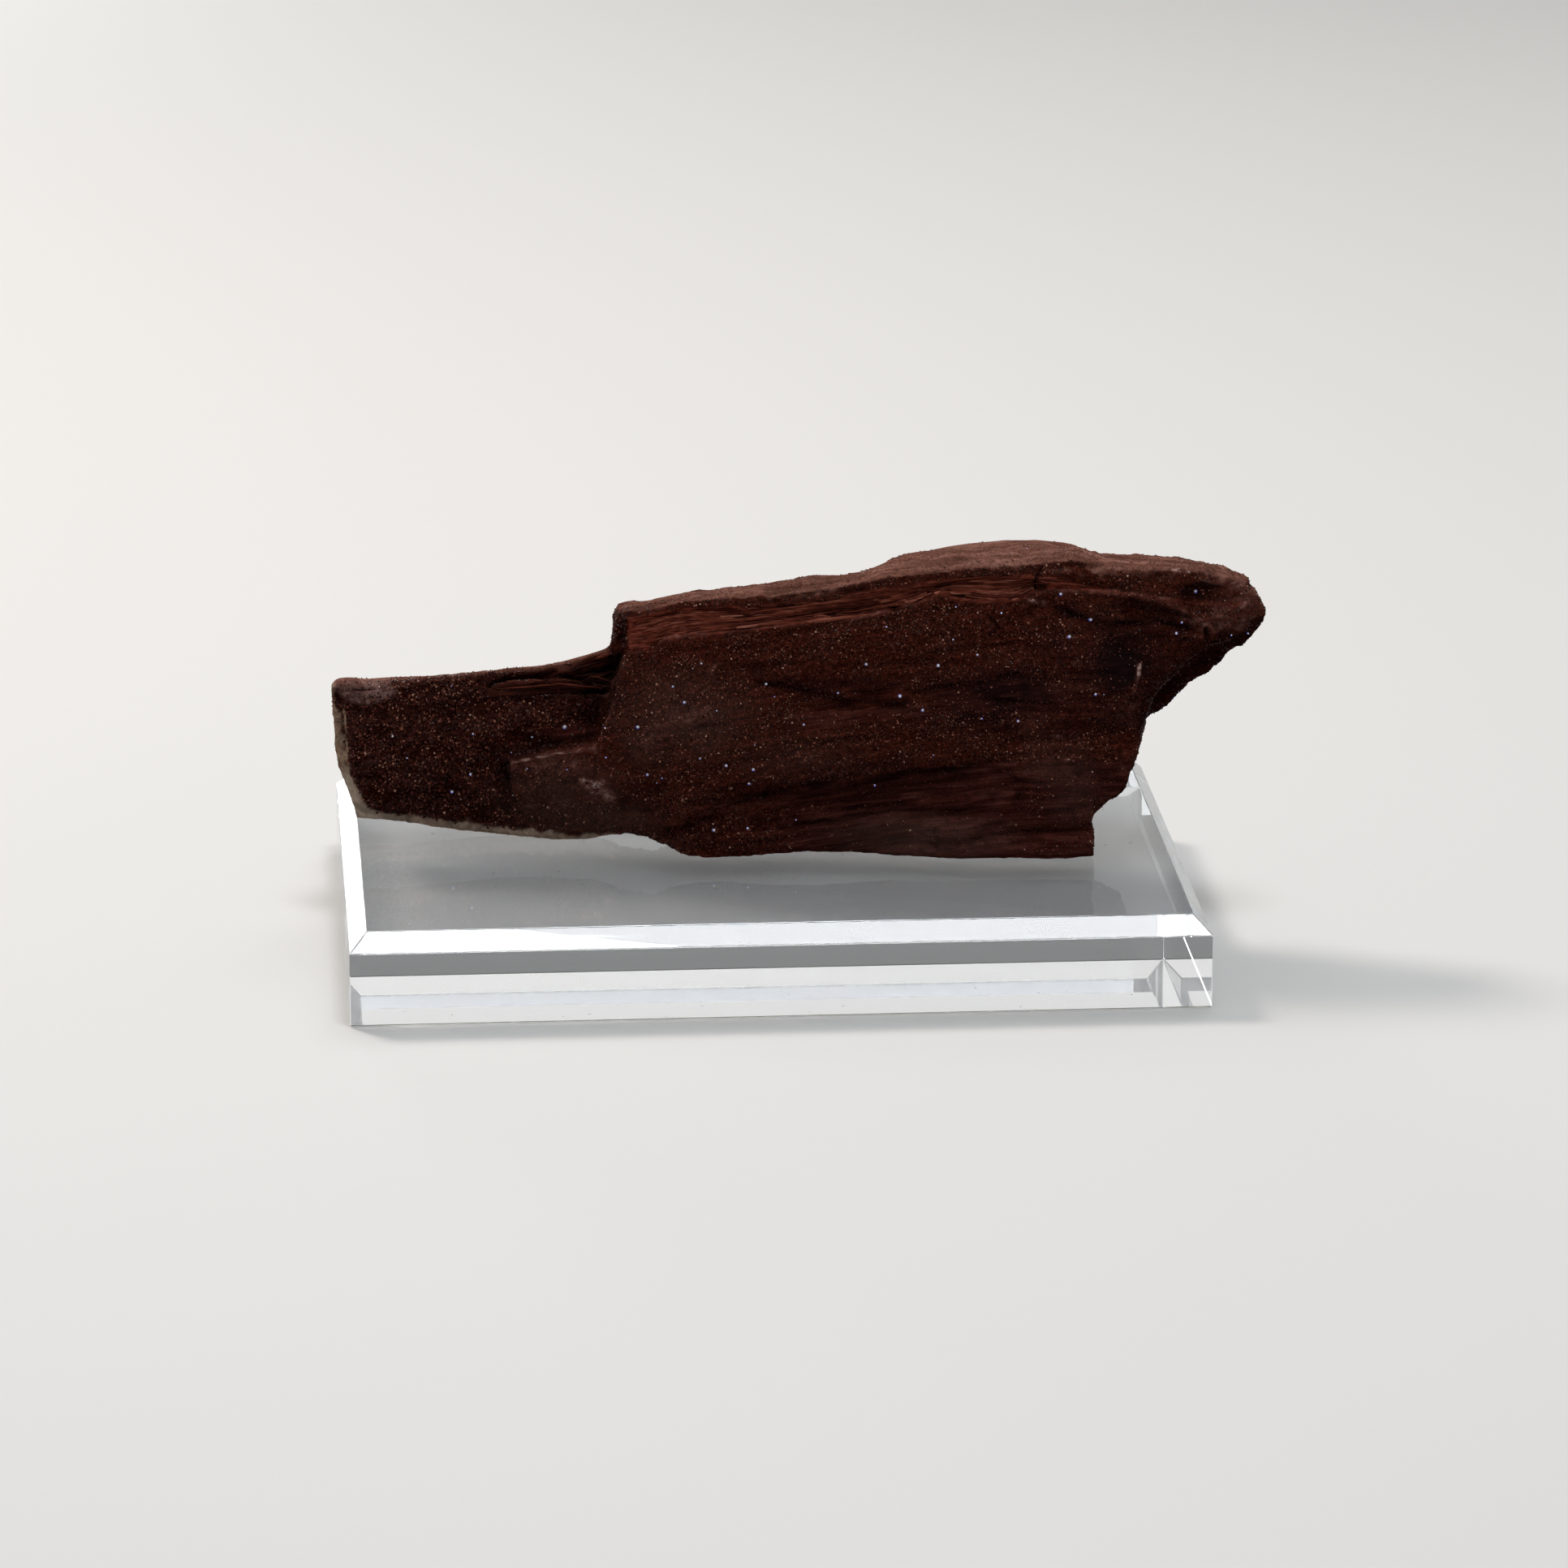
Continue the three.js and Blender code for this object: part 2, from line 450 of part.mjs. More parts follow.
function woodGeometry() {
  const joined = (solids) => solids.reduce((whole, solid) => whole.add(solid));
  const slabs = [body, crest, frontPlate, overhang, tongue, leftFace, ...backSheets];
  const whole = joined(slabs.map((slab) => toSolid(slabGeometry(slab))));
  const opened = whole.subtract(toSolid(slabGeometry(cleft)));
  return toGeometry(joined([opened, ...splinters.map((line) => toSolid(splinterGeometry(line)))]));
}

// -------------------------------------------------------------------------------- the block

function blockGeometry() {
  const corners = (inset, z) => [[-1, -1], [1, -1], [1, 1], [-1, 1]].map(([x, y]) => (
    new THREE.Vector3(x * (BLOCK_LENGTH / 2 - inset), y * (BLOCK_WIDTH / 2 - inset), z)
  ));
  return new ConvexGeometry([
    ...corners(0, 0),
    ...corners(0, BLOCK_THICKNESS - BLOCK_CHAMFER),
    ...corners(BLOCK_CHAMFER, BLOCK_THICKNESS),
  ]);
}

// ---------------------------------------------------------------------------------- the part

const acrylic = new THREE.MeshStandardMaterial({
  color: '#dfe6ea', roughness: 0.05, metalness: 0, transparent: true, opacity: 0.35,
});
const silicifiedWood = new THREE.MeshStandardMaterial({ color: '#4b2a24', roughness: 0.75, metalness: 0 });

const block = new THREE.Mesh(blockGeometry(), acrylic);
block.name = 'display_block';

const wood = new THREE.Mesh(woodGeometry(), silicifiedWood);
wood.name = 'petrified_wood';
wood.position.z = BLOCK_THICKNESS + SEAT_GAP;

const turned = new THREE.Group();
turned.rotation.z = WOOD_TURN;
turned.add(wood);

const part = new THREE.Group();
part.add(block, turned);

export default part;
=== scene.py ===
import math

import bmesh
import bpy
import numpy as np
from mathutils import Matrix, Vector, noise
from mathutils.bvhtree import BVHTree


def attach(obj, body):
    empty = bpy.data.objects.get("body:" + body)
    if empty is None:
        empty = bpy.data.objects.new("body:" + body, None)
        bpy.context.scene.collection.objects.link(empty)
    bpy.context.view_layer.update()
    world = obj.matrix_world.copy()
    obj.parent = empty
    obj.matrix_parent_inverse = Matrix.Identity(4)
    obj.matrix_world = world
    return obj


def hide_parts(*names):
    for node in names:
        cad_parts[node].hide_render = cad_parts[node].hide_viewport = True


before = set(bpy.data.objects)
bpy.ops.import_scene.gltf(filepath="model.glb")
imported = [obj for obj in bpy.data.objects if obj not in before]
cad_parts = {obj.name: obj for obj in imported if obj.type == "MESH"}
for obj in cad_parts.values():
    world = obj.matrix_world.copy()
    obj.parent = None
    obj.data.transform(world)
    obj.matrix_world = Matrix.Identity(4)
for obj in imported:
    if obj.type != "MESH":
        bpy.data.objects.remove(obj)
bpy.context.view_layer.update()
scene = bpy.context.scene

# ---------------------------------------------------------------------------------------------
# The display block: a slab of stock cast acrylic, 7 x 5 x 3/4 inch. Its top edges are milled at
# 45 degrees, then every face is flame polished, which leaves the edges just off sharp. It lies
# loose on the table.

BLOCK_SIZE = (0.1778, 0.127, 0.01905)
BLOCK_CHAMFER = 0.0037
BLOCK_EDGE = 0.00018


def linear(code):
    """An sRGB hex colour as the linear colour that a shader takes."""
    parts = [int(code[i : i + 2], 16) / 255 for i in (1, 3, 5)]
    return tuple(c / 12.92 if c <= 0.04045 else ((c + 0.055) / 1.055) ** 2.4 for c in parts) + (1.0,)


def node(tree, kind, inputs=None, stops=None, **settings):
    """Adds a shader node. An input is a value, a hex colour or what feeds it; stops fill a ramp."""
    made = tree.nodes.new(kind)
    for name, value in settings.items():
        setattr(made, name, value)
    for name, value in (inputs or {}).items():
        if isinstance(value, bpy.types.Node):
            value = value.outputs[0]
        if isinstance(value, bpy.types.NodeSocket):
            tree.links.new(value, made.inputs[name])
        else:
            made.inputs[name].default_value = linear(value) if isinstance(value, str) else value
    if stops:
        ramp = made.color_ramp
        while len(ramp.elements) < len(stops):
            ramp.elements.new(1.0)
        for element, (place, code) in zip(ramp.elements, stops):
            element.position = place
            element.color = linear(code)
    return made


def finish(name):
    """A new material with an empty node tree."""
    made = bpy.data.materials.new(name)
    made.use_nodes = True
    made.node_tree.nodes.clear()
    return made, made.node_tree


def piece(name, mesh, material):
    """Puts a finished mesh at the origin, as a piece that rides on the part."""
    mesh.materials.clear()
    mesh.materials.append(material)
    made = bpy.data.objects.new(name, mesh)
    scene.collection.objects.link(made)
    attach(made, "root")
    return made


# Cast acrylic, polished: clear, with a faint cool tint in its depth. Wiping scratches, about 25 mm
# long and under a millimetre wide, dull it in a few thin lines.
acrylic, tree = finish("polished_acrylic")
place = node(tree, "ShaderNodeTexCoord").outputs["Object"]
wiped = node(tree, "ShaderNodeMapping", {"Vector": place, "Rotation": (0, 0, 0.4), "Scale": (40, 1500, 1500)})
scratch = node(tree, "ShaderNodeTexNoise", {"Vector": wiped, "Scale": 1.0, "Detail": 2.0})
scratched = node(tree, "ShaderNodeValToRGB", {0: scratch}, stops=[(0.68, "#000000"), (0.74, "#404040")])
surface = node(
    tree,
    "ShaderNodeBsdfPrincipled",
    {"Base Color": "#fcfdfe", "Roughness": scratched, "IOR": 1.49, "Transmission Weight": 1.0},
)
tint = node(tree, "ShaderNodeVolumeAbsorption", {"Color": "#dfeaf2", "Density": 1.5})
node(tree, "ShaderNodeOutputMaterial", {"Surface": surface, "Volume": tint})

work = bmesh.new()
bmesh.ops.create_cube(work, size=1.0)
bmesh.ops.scale(work, vec=BLOCK_SIZE, verts=work.verts)
bmesh.ops.translate(work, vec=(0, 0, BLOCK_SIZE[2] / 2), verts=work.verts)
top = [e for e in work.edges if all(v.co.z > BLOCK_SIZE[2] / 2 for v in e.verts)]
bmesh.ops.bevel(work, geom=top, offset=BLOCK_CHAMFER, affect="EDGES", segments=1, profile=0.5, material=-1)
bmesh.ops.bevel(
    work, geom=work.edges[:], offset=BLOCK_EDGE, affect="EDGES", segments=2, profile=0.5, material=-1
)
slab = bpy.data.meshes.new("clear_block")
work.to_mesh(slab)
work.free()
block = piece("clear_block", slab, acrylic)
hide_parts("display_block")

# ---------------------------------------------------------------------------------------------
# The petrified wood: one splinter of a silicified trunk. Silica replaced the wood cell by cell,
# so it still splits along its grain into plates with torn, fibrous edges. It stands unheld on its
# narrow lower edge.

WOOD_TURN = math.radians(-4.25)
# The grid of the remesh, in metres, and the triangles that it is thinned to.
GRID = 0.00047
TRIANGLES = 196000

# How high the grain has climbed, in mm, at places along the wood.
GRAIN_AT = [-91, -60, -35, 0, 35, 55, 75, 107]
GRAIN_CLIMB = [0, 0.6, 2.5, 8.5, 14.2, 16.4, 16.0, 13.5]


def steps(value, low, high):
    """Rises smoothly from 0 at low to 1 at high."""
    k = np.clip((value - low) / (high - low), 0, 1)
    return k * k * (3 - 2 * k)


def scatter(points, size, shift=0.0):
    """One noise value a point, for lumps of that size in mm along, through and up the wood."""
    return np.array([noise.noise(Vector(p)) for p in (points / np.array(size) + shift).tolist()])


def near_line(u, h, line, reach):
    """1 on a line of (along, up) points in mm, falling to 0 at reach on either side."""
    best = np.full(len(u), 1e9)
    for (ua, ha), (ub, hb) in zip(line, line[1:]):
        k = np.clip(((u - ua) * (ub - ua) + (h - ha) * (hb - ha)) / ((ub - ua) ** 2 + (hb - ha) ** 2), 0, 1)
        best = np.minimum(best, np.hypot(u - ua - k * (ub - ua), h - ha - k * (hb - ha)))
    return 1 - steps(best, 0, reach)


def near_spot(u, h, middle, reach):
    """1 at a middle in mm, falling to 0 at an oval reach round it."""
    return 1 - steps(np.hypot((u - middle[0]) / reach[0], (h - middle[1]) / reach[1]), 0, 1)


def vectors(mesh, which):
    """A mesh's vertex places or directions as an array with a row for each vertex."""
    values = np.empty(len(mesh.vertices) * 3, dtype=np.float32)
    mesh.vertices.foreach_get(which, values)
    return values.reshape(-1, 3).astype(float)


def modified(mesh, *modifiers):
    """The mesh after modifiers, each given as a kind and its settings, with its vertex groups."""
    made = bpy.data.objects.new("worked_wood", mesh)
    scene.collection.objects.link(made)
    for kind, settings in modifiers:
        if "vertex_group" in settings:
            group = made.vertex_groups.new(name=settings["vertex_group"])
            for index, weight in enumerate(settings.pop("weights").tolist()):
                group.add([index], weight, "REPLACE")
        modifier = made.modifiers.new(kind.lower(), kind)
        for name, value in settings.items():
            setattr(modifier, name, value)
    bpy.context.view_layer.update()
    result = bpy.data.meshes.new_from_object(made.evaluated_get(bpy.context.evaluated_depsgraph_get()))
    bpy.data.objects.remove(made)
    return result


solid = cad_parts["petrified_wood"].data.copy()
work = bmesh.new()
work.from_mesh(solid)
bmesh.ops.remove_doubles(work, verts=work.verts, dist=1e-6)
work.to_mesh(solid)
work.free()
even = modified(
    solid,
    ("REMESH", {"mode": "VOXEL", "voxel_size": GRID, "adaptivity": 0.0}),
    ("SMOOTH", {"factor": 0.5, "iterations": 3}),
)
# The front keeps the whole grid. The rest is thinned to what its broader relief needs.
hidden = steps(vectors(even, "normal")[:, 1], -0.35, 0.1)
ratio = TRIANGLES / (2 * len(even.polygons))
shape = modified(
    even,
    ("DECIMATE", {"ratio": ratio, "vertex_group": "hidden", "weights": hidden, "vertex_group_factor": 4.0}),
)
# The remesh leaves a crumb or two loose off the thinnest edges. Only the largest shell is kept.
work = bmesh.new()
work.from_mesh(shape)
shells, reached = [], set()
for seed in work.verts:
    if seed not in reached:
        reached.add(seed)
        shell = [seed]
        for vert in shell:
            for other in [edge.other_vert(vert) for edge in vert.link_edges]:
                if other not in reached:
                    reached.add(other)
                    shell.append(other)
        shells.append(shell)
crumbs = [vert for shell in sorted(shells, key=len)[:-1] for vert in shell]
bmesh.ops.delete(work, geom=crumbs, context="VERTS")
work.to_mesh(shape)
work.free()
count = len(shape.vertices)

pairs = np.empty(len(shape.edges) * 2, dtype=np.int32)
shape.edges.foreach_get("vertices", pairs)
near, far = pairs.reshape(-1, 2).T
valence = np.bincount(near, minlength=count) + np.bincount(far, minlength=count)


def spread(values, times):
    """Evens values out over each vertex's neighbours, that many times."""
    for _ in range(times):
        total = np.bincount(near, values[far], count) + np.bincount(far, values[near], count)
        values = total / valence
    return values


turn = np.array(
    [[math.cos(WOOD_TURN), math.sin(WOOD_TURN), 0], [-math.sin(WOOD_TURN), math.cos(WOOD_TURN), 0], [0, 0, 1]]
)
lift = np.array([0, 0, BLOCK_SIZE[2] * 1000])
wood = vectors(shape, "co") * 1000 @ turn.T - lift
normal = vectors(shape, "normal") @ turn.T
# In mm along, through and up the wood. They are views, so they follow each later change of it.
u, v, h = wood.T
climb = np.interp(u, GRAIN_AT, GRAIN_CLIMB)
grain = np.stack([u, v, h - climb], axis=1)

# The front's sheets, as the lines where they begin: above the plate's top edge lies a band of bare
# grain, and above that the crest.
PLATE_TOP = [
    (-91, 60), (-31.5, 60), (-31, 43), (-28, 44.2), (-23.4, 44.2), (-20.6, 46.2), (-9.7, 48.1), (2.6, 49.6),
    (12.8, 51.0), (21.3, 51.7), (27.9, 53.5), (32, 54.7), (37.6, 57.0), (41.3, 56.0), (48, 55.3),
    (53.6, 55.4), (58.6, 58.1), (66, 58.4), (77, 57), (86.7, 55.4), (107, 52),
]
CREST_FOOT = [
    (-91, 60), (-31.5, 60), (-31, 49.5), (-17, 52.2), (0, 53.4), (11, 54.4), (21, 56.4), (30, 58.2),
    (44, 60.2), (58, 60.8), (64, 59.5), (107, 52),
]
plate_top = np.interp(u, *zip(*PLATE_TOP))
crest_foot = np.interp(u, *zip(*CREST_FOOT))
ragged = 0.5 * scatter(wood, (2.5, 2.5, 2.5), shift=41.0)
front = steps(-normal[:, 1], -0.3, 0.3) * (1 - steps(v, 6, 9))
band = steps(h + ragged, plate_top - 0.5, plate_top + 0.3)
band *= 1 - steps(h + ragged, crest_foot - 0.5, crest_foot + 0.5)
band *= steps(u + ragged, -28.8, -27.6)
BROKEN_STEP = [(-56, 31.6), (-52, 33.2), (-43, 34.8), (-36, 37), (-31.5, 40)]
torn = near_line(u, h, BROKEN_STEP, 3.6) * steps(h, 31.2, 32.2)
torn = front * np.maximum(torn, near_spot(u, h, (-30.5, 42), (3, 3.6)))
bare = front * np.clip(np.maximum(band, 1.6 * torn), 0, 1)

# The rind of the trunk is left along the left end and its lower edge, with one scab above it.
RIM = [
    (-90.9, 33.5), (-90.3, 23), (-89.4, 16.5), (-88.1, 11.9), (-86.4, 7.5), (-84, 4.6), (-78, 3.6),
    (-66, 2.2), (-48, 1.5), (-31, 1.5),
]
patchy = scatter(wood, (3.4, 3.4, 3.4), shift=2.0) + 0.5 * scatter(wood, (1.3, 1.3, 1.3), shift=9.0)
crust = np.maximum.reduce([
    1.7 * near_line(u, h, RIM, 3.4) * (1 - 0.5 * steps(u, -70, -36)) * (1 - 0.6 * steps(h, 24, 31)),
    0.8 * steps(-normal[:, 2], 0.3, 0.7) * (1 - steps(u, -40, -24)) * (1 - steps(h, 6, 12)),
    steps(-normal[:, 0], 0.3, 0.8) * (1 - steps(u, -86, -82)) * (1 - 0.6 * steps(h, 25, 31)),
])
crust = steps(crust + 0.4 * patchy, 0.42, 0.72)
bald = steps(near_spot(u, h, (-83.5, 32.4), (10.5, 5)) * (1.1 + 0.8 * patchy), 0.3, 0.7)

# The left face ends at the plate's broken edge, and below that at the tongue.
LEFT_FACE_END = [
    (0, -46), (5, -50.5), (12, -52.5), (18.8, -53.5), (19.4, -53), (20.9, -46), (23.2, -34.7), (28, -34.2),
    (37, -31.3), (43.5, -28.2), (60, -28),
]
left_face = front * steps(np.interp(h, *zip(*LEFT_FACE_END)) - u, -0.4, 0.6)

# Quartz grew over most of the broken faces. These places stayed smooth or split clean:
# the middle of each oval, its reach and how smooth it is.
SMOOTH = [
    ((-41, 24.4), (9, 2.6), 1.3),
    ((-34, 15), (12, 6), 0.5),
    ((64, 11), (12, 10), 1.0),
    ((52, 35.5), (22, 7), 1.1),
    ((75.5, 42), (11, 10), 1.2),
]
smooth = sum(amount * near_spot(u, h, middle, reach) for middle, reach, amount in SMOOTH)
LONG_LEDGE = [(-21, 5.4), (-11.5, 9.0), (-3, 13.4), (7, 15.2), (17.6, 16.3), (33, 19.3), (50, 20.8)]
below = np.interp(u, *zip(*LONG_LEDGE)) - h - ragged
furrow = steps(u + 5 * ragged, 0, 10) * (1 - 0.3 * steps(u, 48, 60)) * steps(below, -0.6, 0.6)
split_line = near_line(u, h, [(7, 29.6), (24, 31.5), (33, 32.1)], 3.0)
smooth = front * np.clip(np.maximum.reduce([smooth, 0.95 * furrow, 0.8 * split_line]), 0, 1)
PLATE_EDGE = [(-34.9, 21.5), (-34.6, 28), (-31.5, 37), (-28.8, 42.5)]
TONGUE_EDGE = [(-53.2, 18.2), (-46, 19.9), (-35.5, 22.0)]
sharp_edge = np.maximum(near_line(u, h, PLATE_EDGE, 1.3), near_line(u, h, TONGUE_EDGE, 1.2))
tip = near_spot(u, h, (99.5, 57), (9, 6))
druse = np.clip(1 - 0.97 * bare - 0.85 * smooth, 0, 1) * (1 - np.minimum(1, 1.15 * crust)) * (1 - 0.85 * bald)
druse *= (1 - 0.75 * tip) * (1 - 0.85 * sharp_edge)

# Relief, in mm outwards: ridges along the grain, thin scarps where sheets flaked off, and lumps
# under the quartz.
ridge = 0.8 - np.abs(scatter(grain, (24, 3, 1.9)))
fibre = 0.75 - np.abs(scatter(grain, (11, 1.6, 0.8), shift=31.0))
lumps = scatter(wood, (2.0, 2.0, 2.0), shift=7.0) + 0.7 * scatter(wood, (0.95, 0.95, 0.95), shift=3.0)
broad = scatter(grain, (17, 8, 6), shift=11.0)
sheet = scatter(grain, (26, 9, 3.4), shift=19.0)
scarp = sum(steps(sheet + 0.06 * lumps, level - 0.03, level + 0.03) for level in (-0.3, -0.1, 0.1, 0.3)) - 2
layered = np.maximum.reduce([near_spot(u, h, (35, 10), (55, 17)), near_spot(u, h, (64, 30), (30, 22)), bare])
layered = np.clip(0.3 + 0.5 * (1 - front) + 0.7 * layered, 0, 1) * (1 - 0.7 * left_face)
stringy = np.maximum.reduce([bare, 0.7 * smooth, 0.4 * layered])
relief = 0.36 * ridge * layered * (1 - 0.65 * smooth) + 0.26 * fibre * stringy
relief += 0.2 * lumps * (0.15 + 0.85 * druse) * (1 + 0.7 * left_face) + 0.3 * broad - 0.15
relief += 0.22 * scarp * layered * (1 - 0.6 * crust) + 0.2 * crust * np.abs(lumps)

# Where a sheet broke off, its edge is a line along the grain. The surface steps in (or out, if the
# depth is positive) just below the line, or above it if the side is 1, and eases back over reach.
LEDGES = [
    (LONG_LEDGE, -1, 8.0, -0.6),
    ([(4, 7.0), (11, 7.9), (21, 9.5), (29, 10.6), (36, 10.9), (43, 11.3), (49, 12.7)], -1, 5.0, -0.5),
    ([(14, 12.6), (24, 14.1), (30, 15), (36, 15.4)], -1, 3.0, -0.3),
    ([(52, 6.6), (60, 6.4), (69, 6.5)], -1, 1.6, -0.25),
    ([(-2, 38.6), (4.5, 38.2), (10, 36.6), (18, 34.8), (26, 34.2)], -1, 3.0, -0.45),
    ([(4, 30.0), (7.3, 30.2), (16, 31.4), (24.4, 32), (35, 32.9)], -1, 2.4, 0.35),
    ([(30, 36.2), (36.5, 37.6), (46.2, 39.2), (51.7, 40.4), (57, 40.6)], -1, 4.0, -0.5),
    ([(46, 35.5), (55.4, 34.7), (60.3, 34.1), (65.6, 33.5)], -1, 3.6, -0.5),
    ([(-22, 27.5), (-16, 28.6), (-8, 29.8)], -1, 1.8, -0.3),
    (
        [(60, 54.9), (64.2, 54.0), (68.8, 51.9), (73.3, 51.3), (84.2, 51.3), (87.7, 50.8), (91, 49.6)],
        -1, 4.6, -1.0,
    ),
    ([(56, 57.6), (62, 57.8), (70, 57.8), (78, 57.1), (86.6, 55.8), (89.4, 54)], -1, 3.6, 0.2),
    ([(88.6, 52.6), (93, 51.6), (97.2, 51.0), (100.7, 50.7), (104, 50)], 1, 4.0, 0.6),
    ([(38, 46), (46, 46.6), (54, 47.2)], -1, 1.6, -0.3),
    ([(-16, 40.4), (-8, 41.4), (2, 42.4), (10, 42.8)], -1, 1.4, -0.22),
]
# Cracks and pits are lines too, with how far they reach and how deep they are cut.
CRACKS = [
    ([(51.9, 18.9), (54.3, 17), (55.6, 15), (53, 12)], 0.9, -0.35),
    ([(48, 52.4), (49.8, 49.9), (48, 48.7)], 0.8, -0.7),
    ([(57.4, 58.2), (57.6, 60.0), (58.9, 62.3)], 0.7, -1.2),
    ([(93.6, 48.7), (93.9, 46.2)], 1.1, -1.6),
    ([(96.6, 47.4), (95.6, 45.6), (94.6, 43.4)], 1.0, -1.3),
    ([(-10, 51.2), (-6.7, 51.4), (-3.1, 51.6)], 0.7, -1.2),
    ([(-2.5, 49.9), (2.1, 50.1)], 0.6, -0.8),
    ([(17.8, 53.7), (22.1, 54.1), (23.2, 54.6)], 0.6, -0.9),
    ([(27.0, 53.7), (30.9, 54.2)], 0.7, -1.0),
    ([(36, 58.2), (44, 58.4), (52, 58.6)], 0.6, -0.6),
    ([(1.4, 56.4), (9.6, 56.4), (14.5, 57.0), (21.1, 57.2)], 1.3, -0.5),
    ([(-54.5, 17.2), (-54.0, 14.6)], 1.3, -1.0),
    ([(-67.5, 24.5), (-65, 24.9)], 1.4, -0.9),
]
dark = np.zeros(count)
wander = h + 0.4 * scatter(wood, (3, 3, 1.6), shift=23.0) + 0.2 * scatter(wood, (1.1, 1.1, 0.8), shift=29.0)
broken = np.clip(0.7 + 0.9 * scatter(grain, (7, 4, 2), shift=37.0), 0.2, 1)
for line, side, reach, depth in LEDGES:
    us, hs = zip(*line)
    beyond = side * (wander - np.interp(u, us, hs))
    length = steps(u, us[0] - 2, us[0] + 3) * (1 - steps(u, us[-1] - 3, us[-1] + 2)) * broken * front
    relief += depth * length * steps(beyond, -0.15, 0.35) * (1 - steps(beyond, 0.35, reach))
    # A painted shadow darkens the stone where each step goes in.
    shaded = steps(beyond, -0.25, 0.1) * (1 - steps(beyond, 0.3, 1.2 + 0.24 * reach))
    dark = np.maximum(dark, min(1, max(0, -1.5 * depth)) * length * shaded)
for line, reach, depth in CRACKS:
    relief += depth * near_line(u, wander, line, reach) * front * broken
    dark = np.maximum(dark, near_line(u, wander, line, 0.9 * reach) * front * min(1, -depth))

# Places that lie in shade or hold darker stone, as lines with how far they reach and how dark.
SHADES = [
    ([(-30.2, 41.4), (-30.6, 38.4), (-32.4, 36.4)], 2.6, 1.0),
    ([(-31.4, 36), (-34.2, 31), (-36.2, 26.6)], 3.4, 0.9),
    ([(-52, 31.7), (-43, 31.8), (-34, 31.8)], 1.6, 0.95),
    ([(-56.5, 32.6), (-50, 33.6), (-34, 33.8)], 2.4, 0.8),
    ([(-46, 36), (-38, 37.6), (-33, 39)], 1.6, 0.6),
    ([(-41, 35.0), (-38, 37.6), (-35, 39.8)], 1.1, 0.7),
    ([(-55.5, 20), (-55, 12)], 2.6, 0.6),
    ([(-52.4, 19.6), (-45, 22.0), (-36, 23.4)], 1.1, 0.85),
    ([(-54.0, 18.2), (-53.6, 13.6)], 1.6, 1.0),
    ([(-2, 40.2), (8, 38.6), (16, 37.6)], 2.0, 0.4),
    ([(16, 37.0), (22, 37.6), (29, 37.4)], 1.2, 0.8),
    ([(10.5, 33.2), (14, 33.4), (18, 33.6)], 1.5, 0.85),
    ([(18, 34.0), (25, 34.4)], 1.0, 0.6),
    ([(-15, 8.6), (-2, 12.4), (10, 13.4), (26, 15.6), (46, 18.4)], 2.6, 0.6),
    ([(2, 37.8), (6, 36.8), (12, 36.6), (15, 35.4)], 1.7, 0.95),
    ([(14, 34.8), (18, 34.2), (24, 34.4), (30, 33.8)], 2.3, 1.0),
    ([(17, 37.6), (22, 38.6), (28, 37.4)], 1.3, 0.7),
    ([(8, 11.6), (19.3, 12.9), (32.9, 14.7), (40, 15.6)], 1.2, 0.5),
    ([(4, 6.6), (11, 7.5), (21, 9.1), (29, 10.2), (43, 10.9), (49, 12.3)], 1.4, 0.75),
    ([(6, 5.4), (15.9, 6.1), (26, 8.0)], 1.0, 0.4),
    ([(44, 20.2), (51.6, 19.0), (55.4, 15.6), (54, 12.4)], 2.2, 0.45),
    ([(60, 29), (72, 30), (82, 31)], 3.4, 0.4),
    ([(63, 54.0), (68.8, 51.7), (73.3, 51.1), (84.2, 51.1), (90, 49.6)], 1.5, 1.0),
    ([(69, 50.6), (80, 50.2), (90, 48.4)], 2.2, 0.5),
    ([(81, 32), (86, 38), (92, 42.5), (98, 46.5)], 5.6, 1.0),
]
for line, reach, amount in SHADES:
    dark = np.maximum(dark, amount * near_line(u, wander, line, reach) * front * (0.7 + 0.3 * broken))

# Hollows and swellings, as the middle of each oval, its reach and how far it comes out.
SPOTS = [
    ((90.4, 56.8), (5.6, 4.8), -1.5),
    ((98, 55.6), (6.5, 3.4), -0.6),
    ((36, 5.5), (16, 4.5), 0.25),
    ((61.5, 12.5), (8, 5.5), 0.25),
    ((23, 35.9), (7, 1.8), -0.8),
    ((18, 32.9), (8.5, 1.5), -0.6),
]
for middle, reach, depth in SPOTS:
    relief += depth * near_spot(u, h, middle, reach) * front
# Two of the hollows are red inside and painted dark with their shade, and the one near the tip is painted in
# shade at its bottom.
pit = near_spot(u, wander, (23, 36.0), (9.5, 3.0))
pit = np.maximum(pit, near_spot(u, wander, (18, 33.0), (10, 2.4))) * front
tip_hollow = near_spot(u, h, (89.8, 56.9), (3.4, 3.6)) * front
blotches = steps(scatter(wood, (4.5, 4.5, 3.0), shift=67.0), 0.0, 0.4) * left_face
# The overhang's underside, the wall behind the plate and the one turned to the right lie in shade.
under = steps(-normal[:, 2], 0.0, 0.5) * steps(u, 66, 78)
behind = steps(v, -9, -6) * near_line(u, h, [(83, 31), (90, 37), (96, 41.5), (102, 46)], 8) * front
turned = steps(normal[:, 0], 0.0, 0.4) * near_line(u, h, [(81, 30), (90, 37.5), (99, 46)], 7)
dark = np.maximum.reduce([
    dark, pit, 0.95 * tip_hollow, 0.42 * blotches, 0.9 * under, 0.95 * behind, 0.95 * turned,
])
# The brow is the strip that turns over to the back above the left face.
brow = steps(h, 31, 33) * (1 - steps(u, -59, -55)) * (1 - steps(v, 5.5, 8))
back_edge = steps(v, 4, 8) * steps(normal[:, 2], -0.2, 0.3)
wood += (relief * (1 - 0.6 * back_edge))[:, None] * normal
